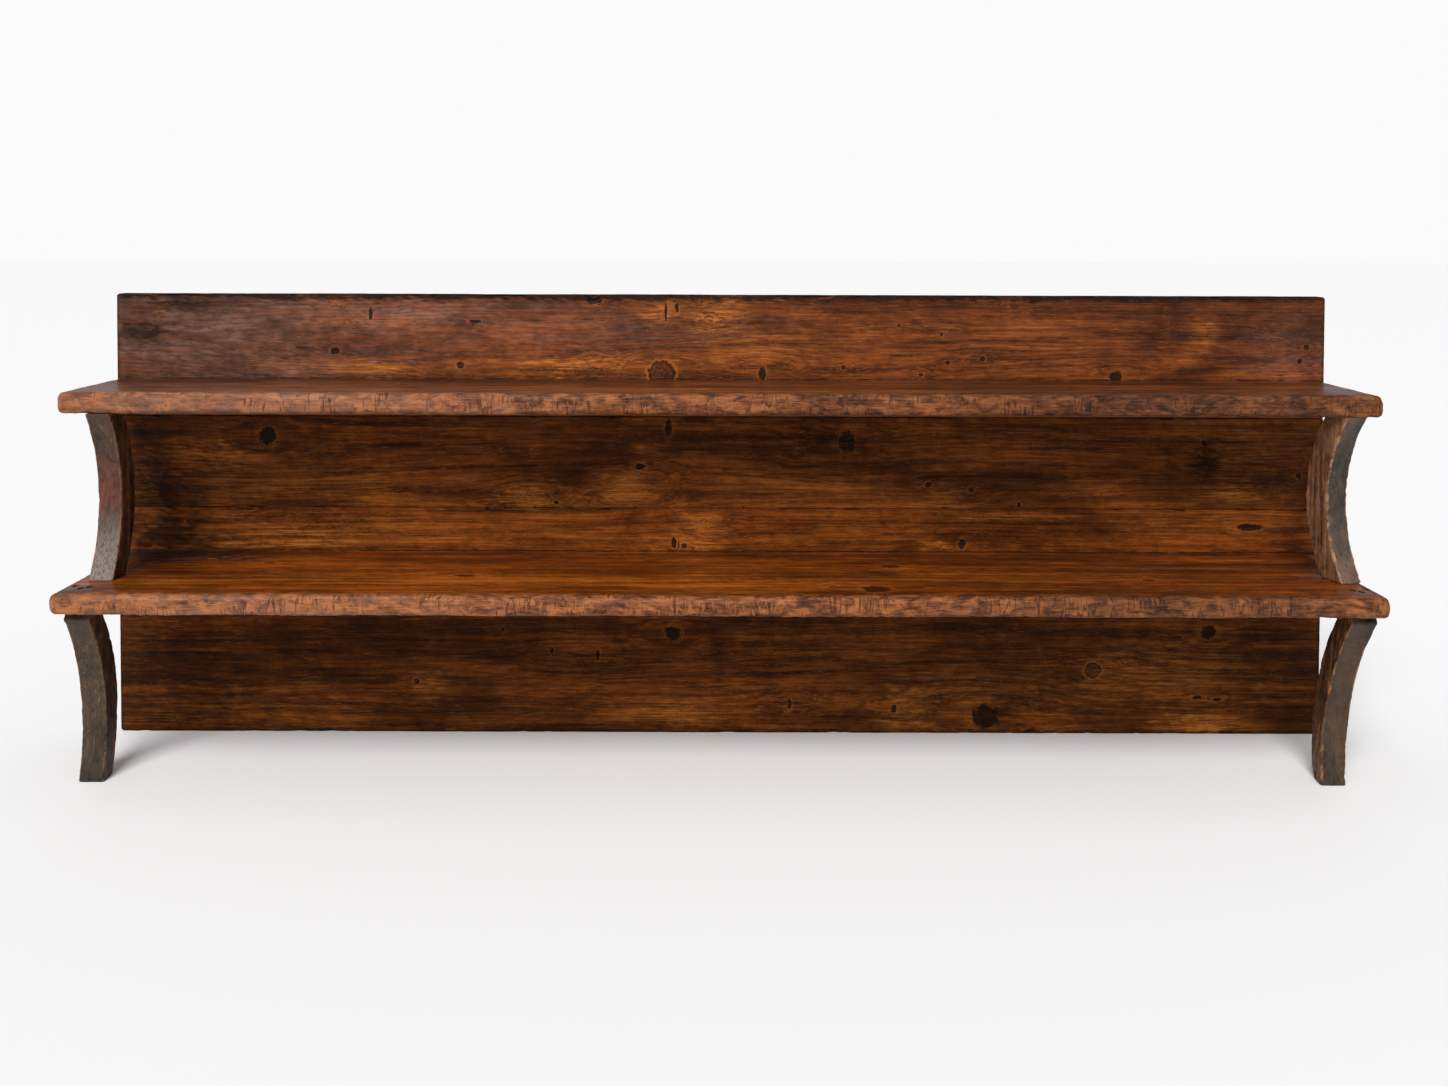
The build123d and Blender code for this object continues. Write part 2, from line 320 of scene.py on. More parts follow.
# %% Places on the boards
def places(*rows):
    """Rows of x, height, half width and half height in millimetres and strength in
    hundredths, as metres and fractions."""
    return [tuple(v / 1000 for v in row[:4]) + (row[4] / 100,) for row in rows]


TOP_KNOTS = places(
    (-903, 901, 12, 9, 90), (-139, 851, 28, 26, 75), (98, 849, 9, 19, 90), (288, 866, 5, 5, 90),
    (469, 849, 6, 5, 90), (532, 877, 7, 5, 90), (614, 887, 7, 7, 90), (517, 943, 5, 5, 90),
    (417, 964, 5, 5, 90), (928, 845, 17, 14, 90), (1373, 915, 9, 7, 90), (1357, 882, 7, 7, 90),
    (-610, 868, 9, 9, 90), (-576, 971, 14, 5, 90), (-820, 988, 5, 17, 90),
    (-129, 995, 3.5, 24, 100), (-103, 1004, 5, 12, 100), (-298, 1022, 21, 10, 100))
TOP_AMBER = places(
    (-811, 858, 118, 19, 80), (-343, 868, 165, 24, 100), (-138, 992, 47, 24, 90),
    (-10, 976, 71, 52, 60), (1136, 952, 33, 31, 90), (91, 905, 142, 47, 40),
    (653, 917, 283, 59, 25))
# Painted sheen: pale greyish patches that stand in for the reflection on the varnish, mostly on
# the left of the board.
TOP_PAINTED_SHEEN = places(
    (-1200, 950, 340, 160, 88), (-720, 980, 360, 80, 55), (-300, 960, 300, 50, 45),
    (1330, 900, 100, 100, 35))
# The first row darkens a band along the board's top edge.
TOP_DARKENING = places(
    (0, 1036, 9000, 12, 180), (850, 930, 500, 120, 24), (-1255, 1009, 142, 24, 110),
    (-1347, 945, 71, 24, 120), (1063, 1016, 33, 17, 80), (1028, 936, 59, 52, 60),
    (1380, 929, 52, 106, 50), (412, 943, 52, 7, 40), (-190, 976, 94, 59, 35),
    (-424, 999, 142, 28, 30), (864, 1023, 472, 9, 30))
UPPER_KNOTS = places(
    (-1064, 701, 21, 23, 100), (-122, 722, 9, 21, 100), (-188, 630, 12, 9, 95),
    (297, 690, 20, 26, 100), (488, 589, 9, 7, 90), (590, 578, 7, 7, 90), (1136, 691, 7, 7, 90),
    (1358, 614, 7, 7, 90), (702, 543, 5, 7, 90), (-214, 583, 28, 24, 30), (-449, 555, 24, 19, 25),
    (-386, 545, 7, 5, 90))
UPPER_AMBER = places(
    (-221, 583, 52, 42, 80), (-461, 557, 83, 24, 60), (-172, 658, 28, 33, 50),
    (-1190, 650, 120, 35, 65), (-950, 590, 320, 40, 35), (531, 552, 71, 24, 50),
    (1215, 571, 57, 21, 70), (1218, 694, 142, 47, 35), (138, 599, 236, 47, 25))
# Besides soot and stains, these rows hold painted shade: the row at x 795 is a painted shadow
# under the ledge, and the rows at x -1350 and -1320 darken the left corner by the bracket.
UPPER_SOOT_AND_SHADE = places(
    (-1341, 670, 47, 118, 50), (-73, 741, 47, 14, 80), (300, 682, 52, 38, 60),
    (1140, 650, 45, 60, 100), (-237, 717, 142, 28, 30), (795, 729, 590, 28, 40),
    (-379, 588, 71, 28, 40), (-50, 623, 47, 14, 30), (0, 533, 9000, 1.4, 30),
    (-1350, 620, 70, 200, 80), (-1320, 560, 85, 80, 110), (1210, 668, 60, 20, 60),
    (235, 700, 130, 30, 75), (60, 715, 160, 22, 45), (1190, 620, 200, 130, 35))
LOWER_KNOTS = places(
    (569, 450, 9, 12, 90), (1242, 491, 31, 9, 95), (-40, 495, 21, 17, 35),
    (-1117, 528, 21, 3, 90), (-109, 450, 7, 12, 90), (-85, 443, 7, 7, 90),
    (-760, 350, 14, 14, 90))
LOWER_AMBER = places(
    (-40, 493, 47, 24, 90), (-73, 450, 71, 19, 90), (679, 517, 142, 12, 40),
    (506, 446, 42, 9, 70), (-520, 469, 354, 24, 30), (1126, 505, 236, 35, 30),
    (-980, 475, 300, 50, 65))
# The row at x -1300 is painted shade, darkening the left corner just above the seat by the
# bracket's foot.
LOWER_SOOT_AND_SHADE = places(
    (-214, 493, 33, 24, 50), (-1355, 493, 47, 59, 50), (1291, 481, 59, 14, 50),
    (0, 533, 9000, 1.4, 30), (-1300, 475, 120, 55, 110), (1100, 480, 280, 60, 6),
    (1360, 480, 60, 80, 35))
BOTTOM_KNOTS = places(
    (-111, 237, 19, 19, 100), (1153, 242, 19, 17, 100), (880, 151, 17, 17, 80),
    (626, 40, 34, 30, 100), (-288, 184, 5, 14, 90), (-716, 120, 7, 7, 90), (165, 68, 5, 14, 90),
    (411, 58, 7, 12, 95), (-397, 194, 5, 9, 90), (-512, 244, 5, 5, 90), (1126, 87, 12, 5, 90),
    (1176, 82, 12, 5, 90))
BOTTOM_AMBER = places(
    (-685, 108, 38, 28, 50), (-97, 41, 90, 24, 90), (441, 58, 71, 42, 60),
    (1131, 24, 75, 22, 100), (1050, 150, 250, 70, 40), (894, 101, 71, 35, 35),
    (564, 101, 142, 47, 30))
# The last row darkens a band along the foot of the board.
BOTTOM_DARKENING = places(
    (-1253, 149, 220, 140, 60), (659, 49, 52, 28, 90), (-3, 184, 19, 71, 40),
    (-993, 220, 283, 47, 40), (1011, 244, 236, 35, 30), (-168, 10, 142, 7, 70),
    (-1326, 10, 94, 9, 60), (0, 0, 9000, 6, 110))
print("knots on the back:", sum(map(len, (TOP_KNOTS, UPPER_KNOTS, LOWER_KNOTS, BOTTOM_KNOTS))))

# %% Make a board
JOINT_EASE = 0.8 * MM
BOARD_GRID = 5.0 * MM
BOARD_END_STEPS = (0.4 * MM, 1.2 * MM, 2.5 * MM, 6 * MM, 9 * MM)
# Heights above each plank's top of the extra grid rows that carry a painted shade line.
CREASE_SHADE_REACH = (0.0, 1.4 * MM, 3.2 * MM)
FULL_LENGTH = 9.0
THIN_END = 2.5 * MM
KNOT_HOLLOW = 1.1 * MM
BLACK_KNOT = 0.85
plank_tops = [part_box(name)[1].z for name in ("seat_plank", "ledge_plank")]
back_front_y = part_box("back_board_top")[0].y
back_rear_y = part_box("back_board_top")[1].y
board_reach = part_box("back_board_top")[1].x


def board(name, low_z, high_z, ease, corners, seed, knots, amber, soot_and_shade, chips, painted_sheen=()):
    """A board on edge: at each station along X its section runs over the front face, the
    top edge, the rear face and the bottom edge. Ease gives the radii of two edges each: of
    the front top and rear bottom ones, then of the rear top and front bottom ones. Corners
    are the radii of the board's own corners, seen from the front (bottom, top)."""
    stations = lines(-board_reach, board_reach, BOARD_GRID, end_steps=BOARD_END_STEPS)
    column = np.zeros((len(stations), 1))
    drop = [end_fall(stations, -board_reach, board_reach, r) if r else column for r in corners]
    thin = end_fall(stations, -board_reach, board_reach, THIN_END)
    height = high_z - low_z
    crease_shade_heights = [top + rise for top in plank_tops for rise in CREASE_SHADE_REACH if low_z < top < high_z]
    face = np.unique(np.concatenate([np.linspace(0, 1, int(height / BOARD_GRID)),
                                     (np.array(crease_shade_heights) - low_z) / height]))
    # Painted shade: a dark line on the board along the crease where each plank's top meets it,
    # carried by the extra grid rows there; then a darker strip 6 mm wide at each end.
    soot_and_shade = soot_and_shade + [(0.0, top + 0.8 * MM, FULL_LENGTH, 2.0 * MM, 0.95) for top in plank_tops]
    soot_and_shade += [(side * board_reach, low_z, 6.0 * MM, FULL_LENGTH, 0.9) for side in (-1, 1)]
    rear = np.linspace(0, 1, int(height / (2 * BOARD_GRID)))
    edge = np.linspace(0, 1, 7)
    walk = walk_along(stations)
    wear = 1 + 0.35 * ripples(walk, (0.16, 1, 1), seed)[:, None]
    first, second = (np.clip(column + radius * wear, 0.5 * MM, 6 * MM) for radius in ease)
    z, y, out_z, out_y, away = rounded_section(
        column + low_z + drop[0], column + high_z - drop[1],
        column + back_front_y + thin, column + back_rear_y - thin,
        (first, second, first, second), (face, edge, rear, edge), 4)
    x = np.broadcast_to(stations[:, None], z.shape)
    rings = np.stack([x, y, z], -1)
    hollow = worn_away(rings, seed + 1, (0.35 * MM, 0.5, (0.5, 1, 0.06)),
                       (0.18 * MM, 0.5, (0.06, 1, 0.012)))
    knot = knot_values(rings, 2, knots)
    across, above, darkness = np.moveaxis(knot["knot"], -1, 0)
    sunk = np.exp(-(np.hypot(across, above) ** 2)) * darkness * (darkness > BLACK_KNOT)
    cut = hollow + KNOT_HOLLOW * sunk + dents(rings, chips)
    rings[..., 1] -= out_y * cut
    rings[..., 2] -= out_z * cut
    front = (out_y < 0.5).astype(float)
    values = {
        **knot,
        "amber": patch(rings, 2, amber, seed + 5) * front,
        "soot_and_shade": patch(rings, 2, soot_and_shade, seed + 9) * front,
        "painted_sheen": patch(rings, 2, painted_sheen, seed + 14) * front,
        "edge": 0.5 * np.exp(-away / (5 * MM)) + 0 * x,
        "nosing": 0 * x,
    }
    return skin(name, rings, values)


joint_heights = [
    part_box(name)[0].z
    for name in ("back_board_lower_middle", "back_board_upper_middle", "back_board_top")
]
back_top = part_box("back_board_top")[1].z
print("boards meet at", [round(z, 3) for z in joint_heights])

# %% Make the four boards
top_chips = [(-0.298, back_front_y, back_top, 0.021, 9 * MM),
             (-0.129, back_front_y, back_top, 0.010, 3 * MM)]
top_chips += scattered_dents(31, 26, board_reach, (back_front_y, back_front_y + 6 * MM),
                             (back_top - 3 * MM, back_top), (6 * MM, 16 * MM), (0.8 * MM, 3 * MM))
foot_chips = scattered_dents(37, 30, board_reach, (back_front_y, back_front_y + 5 * MM),
                             (0.0, 4 * MM), (7 * MM, 22 * MM), (1 * MM, 4 * MM))
boards = {
    "back_board_top": board(
        "top_board", joint_heights[2], back_top, (JOINT_EASE, 3.6 * MM), (0, 9 * MM), 11,
        TOP_KNOTS, TOP_AMBER, TOP_DARKENING, top_chips, TOP_PAINTED_SHEEN),
    "back_board_upper_middle": board(
        "upper_middle_board", joint_heights[1], joint_heights[2], (JOINT_EASE, JOINT_EASE),
        (0, 0), 13, UPPER_KNOTS, UPPER_AMBER, UPPER_SOOT_AND_SHADE, []),
    "back_board_lower_middle": board(
        "lower_middle_board", joint_heights[0], joint_heights[1], (JOINT_EASE, JOINT_EASE),
        (0, 0), 17, LOWER_KNOTS, LOWER_AMBER, LOWER_SOOT_AND_SHADE, []),
    "back_board_bottom": board(
        "bottom_board", 0.0, joint_heights[0], (2.4 * MM, JOINT_EASE), (9 * MM, 0), 19,
        BOTTOM_KNOTS, BOTTOM_AMBER, BOTTOM_DARKENING, foot_chips),
}

# %% [markdown]
# ## The two planks
# The seat and the ledge are single thick planks. Knees and hands have worn their front
# edges to a soft, uneven roll, and the saw that cut them left short upright marks there.
# Three nails in each end of the seat lie at the bottom of small round pits, so the grid
# has extra lines there to carry a clean round hole.

# %% Make a plank
NOSE_RADIUS = 14 * MM
CORNER_RADIUS = 19 * MM
PIT_RADIUS = 4.5 * MM
PIT_DEPTH = 5 * MM
PIT_FINE = 1.1 * MM
PIT_MARGIN = 7 * MM
PLANK_GRID = 9 * MM
NOSE_LIMITS = (9 * MM, 19 * MM)
ARRIS = 1 * MM
PLANK_END_STEPS = (0.3 * MM, 1 * MM, 2.2 * MM, 4 * MM, 6.5 * MM, 10 * MM, 14 * MM)


def plank(name, node, seed, knots, amber, soot_and_shade, pits, chips, grid, painted_sheen=()):
    """A lying plank: at each station along X the section runs over the underside, the rear
    edge, the top and the nosing. Its ends fall back round a quarter circle, the front
    corners in plan too. Ripples change the nosing's radius along the plank."""
    low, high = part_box(node)
    gathers = []
    across = lines(low.y, high.y, PLANK_GRID)
    if pits:
        for side in (-1, 1):
            xs = [x for x, _ in pits if x * side > 0]
            gathers.append((min(xs) - PIT_MARGIN, max(xs) + PIT_MARGIN, PIT_FINE))
        ys = [y for _, y in pits]
        rows = (min(ys) - PIT_MARGIN, max(ys) + PIT_MARGIN, PIT_FINE)
        across = lines(low.y, high.y, PLANK_GRID, [rows])
    stations = lines(low.x, high.x, grid, gathers, PLANK_END_STEPS)
    column = np.zeros((len(stations), 1))
    fall = end_fall(stations, low.x, high.x, NOSE_RADIUS)
    corner = end_fall(stations, low.x, high.x, CORNER_RADIUS)
    walk = walk_along(stations)
    half = (high.z - low.z) / 2
    flat = np.maximum(half - fall, 5 * MM)
    worn = [column + NOSE_RADIUS * (1 + 0.16 * ripples(walk, (0.22, 1, 1), seed + k)[:, None])
            for k in (0, 1)]
    nose = [np.minimum(np.clip(w, *NOSE_LIMITS), flat * 0.92) for w in worn]
    small = column + ARRIS
    top_run = (high.y - small - across[::-1]) / (high.y - low.y - NOSE_RADIUS - ARRIS)
    top_run = np.unique(np.clip(top_run, 0, 1))
    sides = (np.linspace(0, 1, 22), np.linspace(0, 1, 5), top_run, np.linspace(0, 1, 8))
    y, z, out_y, out_z, away = rounded_section(
        column + low.y + corner, column + high.y, column + low.z + fall,
        column + high.z - fall, (small, small, nose[0], nose[1]), sides, 8)
    x = np.broadcast_to(stations[:, None], z.shape)
    rings = np.stack([x, y, z], -1)
    front = np.clip((low.y + 0.030 - y) / 0.016, 0, 1)
    ends = np.clip((0.020 - np.minimum(x - low.x, high.x - x)) / 0.012, 0, 1)
    nosing = np.maximum(front, ends)
    cut = dents(rings, chips) + worn_away(
        rings, seed + 2, (0.30 * MM, 0.5, (0.45, 0.08, 1)),
        (0.45 * MM * nosing, 0.6, (0.03, 0.02, 0.02)),
        (0.25 * MM * nosing, 0.6, (0.009, 0.05, 0.05)))
    pit = np.zeros(x.shape)
    halo = np.zeros(x.shape)
    for px, py in pits:
        gap = np.hypot(x - px, y - py)
        hole = np.clip((PIT_RADIUS + 0.5 * MM - gap) / (1 * MM), 0, 1)
        pit = np.maximum(pit, hole * (out_z > 0.5))
        stain_gap = np.hypot((x - px) / 6.0, (y - py) / 9.0) / MM
        halo = np.maximum(halo, np.clip((1.15 - stain_gap) / 0.25, 0, 1) * (out_z > 0.5))
    knot = knot_values(rings, 1, knots)
    cut = cut + PIT_DEPTH * pit
    rings[..., 1] -= out_y * cut
    rings[..., 2] -= out_z * cut
    top = (out_z > 0.2).astype(float)
    values = {
        **knot,
        "knot_near": knot["knot_near"] * top,
        "amber": patch(rings, 1, amber, seed + 5) * top,
        "soot_and_shade": np.maximum(patch(rings, 1, soot_and_shade, seed + 9), 1.6 * np.maximum(pit, halo)),
        "painted_sheen": patch(rings, 1, painted_sheen, seed + 14),
        "edge": np.exp(-away / (7 * MM)) * (1 - nosing),
        "nosing": nosing,
    }
    return skin(name, rings, values)


# %% Make the seat and the ledge
seat_low, seat_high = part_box("seat_plank")
ledge_low, ledge_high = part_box("ledge_plank")
seat_pits = [(-1.362, -0.14975), (-1.341, -0.16975), (-1.329, -0.15775),
             (1.3675, -0.14975), (1.3465, -0.16975), (1.3345, -0.15775)]
seat_chips = scattered_dents(41, 60, 1.37, (seat_low.y, seat_low.y + 10 * MM),
                             (seat_low.z, seat_high.z), (5 * MM, 15 * MM), (0.6 * MM, 2.4 * MM))
seat_chips += [(0.686, seat_low.y + 2 * MM, seat_low.z + 12 * MM, 0.008, 2.5 * MM)]
ledge_chips = scattered_dents(43, 60, 1.40, (ledge_low.y, ledge_low.y + 10 * MM),
                              (ledge_low.z, ledge_high.z), (5 * MM, 15 * MM), (0.6 * MM, 2.4 * MM))
seat = plank(
    "seat", "seat_plank", 51,
    [(0.331, -0.157, 0.030, 0.026, 0.95), (-0.557, -0.058, 0.022, 0.010, 0.95),
     (0.384, 0.030, 0.024, 0.016, 0.95), (-1.02, 0.05, 0.012, 0.012, 0.7),
     (0.93, -0.08, 0.013, 0.012, 0.7), (-0.18, 0.10, 0.010, 0.010, 0.7)],
    [(-0.62, -0.10, 0.34, 0.05, 0.6), (0.05, -0.12, 0.30, 0.04, 0.7),
     (0.62, -0.05, 0.30, 0.05, 0.45), (-1.18, -0.13, 0.10, 0.03, 0.5)],
    # In this list, the row at x -1.28 is painted shade in the back-left corner by the bracket, and
    # the row at x 0.95 along the front is painted shade over the right half of the nosing.
    [(-1.28, 0.13, 0.17, 0.060, 2.0), (0.36, -0.02, 0.06, 0.03, 0.5),
     (0.98, 0.00, 0.45, 0.30, 0.50), (-0.70, 0.14, 0.30, 0.02, 0.4),
     (-0.2, 0.13, 0.9, 0.03, 0.5), (0.9, 0.12, 0.4, 0.04, 0.5),
     (0.95, seat_low.y, 0.62, 0.05, 0.58), (1.369, 0.0, 0.0030, 0.17, 1.3),
     (-1.33, -0.19, 0.05, 0.02, 0.3)],
    # The last list lays a painted sheen over the left half of the nosing.
    seat_pits, seat_chips, 4.8 * MM, [(-1.05, seat_low.y, 0.50, 0.020, 0.36)])
ledge = plank(
    "ledge", "ledge_plank", 61,
    [(-0.75, 0.06, 0.014, 0.012, 0.8), (0.52, 0.02, 0.016, 0.013, 0.8),
     (1.10, -0.03, 0.012, 0.010, 0.8)],
    [(0.0, -0.05, 0.5, 0.03, 0.5), (-0.9, -0.04, 0.3, 0.03, 0.4)],
    # In this list, the row at x 0.90 along the front is painted shade over the right half of the
    # nosing.
    [(-0.5, 0.12, 0.8, 0.03, 0.5), (0.9, 0.10, 0.5, 0.03, 0.5),
     (0.90, ledge_low.y, 0.80, 0.05, 0.66)],
    # The last list lays a painted sheen over the left of the ledge's top and nosing.
    [], ledge_chips, 4.6 * MM, [(-1.05, ledge_low.y, 0.55, 0.20, 0.42)])

# %% [markdown]
# ## Curved legs and brackets
# Seen from the end, each leg and bracket is a C: two arcs sawn through thick plank, hollow
# toward the front. The section at each height is a plain rounded rectangle whose front
# and back follow the two arcs. The right leg leans in toward its foot, and the right
# bracket was fixed slightly turned, so those two are sheared or turned afterwards.

# %% Make a C-shaped piece
LEG_WIDTH = 54 * MM
BRACKET_WIDTH = 53 * MM
# Each arc is (distance before the back, radius, height of the waist)
LEG_FRONT = (273 * MM, 431 * MM, 125 * MM)
LEG_BACK = (219 * MM, 394 * MM, 150 * MM)
BRACKET_FRONT = (228 * MM, 330 * MM, 603 * MM)
BRACKET_BACK = (163 * MM, 330 * MM, 603 * MM)
seat_under, ledge_under = seat_low.z, ledge_low.z


def sawn_arc(z, arc):
    """Distance in front of the back's face at height z: the arc's own distance, plus its
    radius less the root of radius squared less height above the waist squared."""
    distance, radius, waist = arc
    return distance + radius - np.sqrt(radius**2 - (z - waist) ** 2)


def curved_piece(low_z, high_z, front, back, width, relief, seed, chips):
    """Rings and values of a C-shaped piece standing on X = 0. Front and back are arcs, and
    relief is (depth, height) of the slope cut from the top of its front face."""
    z = lines(low_z, high_z, 3.0 * MM, end_steps=(0.4 * MM, 1.1 * MM, 2.1 * MM, 3.5 * MM))
    column = np.zeros((len(z), 1))
    front_y = back_front_y - sawn_arc(z, front)
    front_y += relief[0] * np.clip((z - (high_z - relief[1])) / relief[1], 0, 1)
    rear_y = back_front_y - sawn_arc(z, back)
    radii = worn_radii(walk_along(z, 2), 3.2 * MM, 0.3, (1, 1, 0.09), (1.8 * MM, 6 * MM), seed)
    soft = end_fall(z, low_z, high_z + 1.0, 3.5 * MM)
    run = np.linspace(0, 1, 19)
    x, y, out_x, out_y, away = rounded_section(
        column - width / 2 + soft, column + width / 2 - soft, front_y[:, None] + soft,
        rear_y[:, None] - soft, radii, (run, run, run, run), 5)
    rings = np.stack([x, y, np.broadcast_to(z[:, None], x.shape)], -1)
    cut = dents(rings, chips) + worn_away(rings, seed + 5, (0.35 * MM, 0.6, (0.03,) * 3),
                                          (0.20 * MM, 0.6, (0.01, 0.01, 0.006)))
    rings[..., 0] -= out_x * cut
    rings[..., 1] -= out_y * cut
    values = {
        "edge": np.exp(-away / (5 * MM)) + 0 * x,
        "face": np.clip(-out_y, 0, 1),
        "height": np.clip((rings[..., 2] - low_z) / (high_z - low_z), 0, 1),
    }
    return rings, values


def arris_knocks(seed, count, low_z, high_z, front, back, width):
    """Random dents on the four long arrises."""
    draw = np.random.default_rng(seed)
    knocks = []
    for _ in range(count):
        z = draw.uniform(low_z, high_z)
        arc = front if draw.uniform() < 0.7 else back
        y = back_front_y - float(sawn_arc(z, arc))
        x = draw.choice((-1, 1)) * width / 2
        knocks.append((x, y, z, draw.uniform(5 * MM, 11 * MM), draw.uniform(0.5 * MM, 1.8 * MM)))
    return knocks


print("leg depth at the floor:",
      round(float(sawn_arc(0, LEG_FRONT) - sawn_arc(0, LEG_BACK)) * 1000, 1), "mm")

# %% Make the legs
TUCK = 0.6 * MM
LEG_RELIEF = (27 * MM, 20 * MM)
leg_x = {"left": -1344.5 * MM, "right": 1350 * MM}
foot_inset = {"left": 0.0, "right": 36 * MM}
legs = {}
for side, seed in (("left", 71), ("right", 73)):
    knocks = arris_knocks(seed, 9, 0.0, seat_under, LEG_FRONT, LEG_BACK, LEG_WIDTH)
    if side == "right":
        heel = back_front_y - float(sawn_arc(0, LEG_BACK))
        knocks.append((-LEG_WIDTH / 2, heel, 0.006, 0.020, 7 * MM))
    rings, values = curved_piece(0.0, seat_under + TUCK, LEG_FRONT, LEG_BACK, LEG_WIDTH,
                                 LEG_RELIEF, seed, knocks)
    lean = foot_inset[side] * (1 - rings[..., 2] / seat_under)
    rings[..., 0] += leg_x[side] - lean
    legs[side] = skin(f"{side}_leg", rings, values)

# %% Make the brackets
bracket_x = {"left": -1326.5 * MM, "right": 1347 * MM}
bracket_turn = {"left": 0.0, "right": math.radians(16)}
bracket_shift = {"left": 0.0, "right": 6 * MM}
PIVOT = 238 * MM
NO_RELIEF = (0.0, 1.0)
brackets = {}
for side, seed in (("left", 81), ("right", 83)):
    knocks = arris_knocks(seed, 7, seat_high.z, ledge_under, BRACKET_FRONT, BRACKET_BACK,
                          BRACKET_WIDTH)
    rings, values = curved_piece(seat_high.z - TUCK, ledge_under + TUCK, BRACKET_FRONT,
                                 BRACKET_BACK, BRACKET_WIDTH, NO_RELIEF, seed, knocks)
    pivot_y = back_front_y - PIVOT
    turn = bracket_turn[side]
    x, y = rings[..., 0].copy(), rings[..., 1] - pivot_y
    rings[..., 0] = bracket_x[side] + x * math.cos(turn) - y * math.sin(turn)
    rings[..., 1] = pivot_y + bracket_shift[side] + x * math.sin(turn) + y * math.cos(turn)
    brackets[side] = skin(f"{side}_bracket", rings, values)

# %% [markdown]
# ## Ledgers and battens
# Behind and below, where nobody looks, the maker used rough-sawn pine: a ledger under each
# plank and three upright battens nailed across the back. They keep square edges, barely
# eased, and a slightly wavy saw-cut face.

# %% Make a rough stick
def rough_stick(name, node, long_axis, ease, seed):
    """A square-edged stick along X or Z, filling its node's box less a little wear."""
    low, high = (np.array(corner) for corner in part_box(node))
    lengthwise, a_axis, b_axis = {0: (0, 1, 2), 2: (2, 0, 1)}[long_axis]
    s = lines(low[lengthwise], high[lengthwise], 6 * MM, end_steps=(0.6 * MM, 2 * MM))
    column = np.zeros((len(s), 1))
    radii = worn_radii(walk_along(s), ease, 0.4, (0.12, 1, 1), (0.6 * MM, 3 * ease), seed)
    soft = end_fall(s, low[lengthwise], high[lengthwise], 1.5 * MM)
    spans = [high[axis] - low[axis] for axis in (a_axis, b_axis)]
    runs = [np.linspace(0, 1, max(5, int(span / (6 * MM)))) for span in spans]
    a, b, out_a, out_b, away = rounded_section(
        column + low[a_axis] + soft, column + high[a_axis] - soft,
        column + low[b_axis] + soft, column + high[b_axis] - soft,
        radii, (runs[0], runs[1], runs[0], runs[1]), 4)
    rings = np.zeros(a.shape + (3,))
    rings[..., lengthwise] = s[:, None]
    rings[..., a_axis], rings[..., b_axis] = a, b
    cut = worn_away(rings, seed + 5, (0.4 * MM, 0.6, (0.12,) * 3), (0.2 * MM, 0.6, (0.02,) * 3))
    rings[..., a_axis] -= out_a * cut
    rings[..., b_axis] -= out_b * cut
    values = {"edge": np.exp(-away / (4 * MM)) + 0 * a}
    return skin(name, rings, values)


LEDGER_EASE = 1.8 * MM
BATTEN_EASE = 3.5 * MM
sticks = {}
for node, long_axis, ease, seed in (
        ("seat_ledger", 0, LEDGER_EASE, 91), ("ledge_ledger", 0, LEDGER_EASE, 93),
        ("rear_batten_left", 2, BATTEN_EASE, 95), ("rear_batten_middle", 2, BATTEN_EASE, 97),
        ("rear_batten_right", 2, BATTEN_EASE, 99)):
    label = "rough_" + node.replace("rear_", "")
    sticks[node] = rough_stick(label, node, long_axis, ease, seed)

# %% [markdown]
# ## A few words for wiring finishes
# A finish is a small network of nodes. The network being wired lies on the bench, and each
# helper below places one node there. What a node puts out is a wire, and wires are added
# and multiplied like numbers, so the recipes further down read like arithmetic.

# %% Wires
class Wire:
    """What one node puts out. Arithmetic with it places a Math node."""

    def __init__(self, socket):
        self.socket = socket

    def __add__(self, other):
        return maths("ADD", self, other)

    def __sub__(self, other):
        return maths("SUBTRACT", self, other)

    def __rsub__(self, other):
        return maths("SUBTRACT", other, self)

    def __mul__(self, other):
        return maths("MULTIPLY", self, other)

    def __truediv__(self, other):
        return maths("DIVIDE", self, other)

    def __abs__(self):
        return maths("ABSOLUTE", self)

    __radd__, __rmul__ = __add__, __mul__


bench = {"tree": None}


def put(value, socket):
    """Links a wire to a socket, or types a plain value into it."""
    if isinstance(value, Wire):
        bench["tree"].links.new(value.socket, socket)
    else:
        socket.default_value = value


def place(kind, wires, out=0, **settings):
    """Adds a node to the bench, sets its properties, then fills its inputs, named or
    numbered. Returns the wire from one of its outputs."""
    item = bench["tree"].nodes.new("ShaderNode" + kind)
    for key, value in settings.items():
        setattr(item, key, value)
    for key, value in wires.items():
        put(value, item.inputs[key])
    return Wire(item.outputs[out])


def maths(operation, first, second=0.0):
    """One arithmetic step."""
    return place("Math", {0: first, 1: second}, operation=operation)


def held(answer):
    """The answer of an arithmetic step, kept from 0 to 1."""
    answer.socket.node.use_clamp = True
    return answer


# %% Masks and colours
def tone(red, green, blue):
    """A colour given on a 0 to 255 scale, as the linear light Blender works in."""
    levels = [v / 255 for v in (red, green, blue)]
    return tuple(v / 12.92 if v < 0.04 else ((v + 0.055) / 1.055) ** 2.4 for v in levels) + (1.0,)


def between(value, low, high, to_low=0.0, to_high=1.0):
    """A smooth step: to_low below low, to_high above high."""
    wires = {0: value, 1: low, 2: high, 3: to_low, 4: to_high}
    return place("MapRange", wires, interpolation_type="SMOOTHSTEP")


def contour(value, height, width):
    """A line where the value passes one height: 1 on it, fading to 0 a width away."""
    return between(abs(value - height), 0.0, width, 1.0, 0.0)


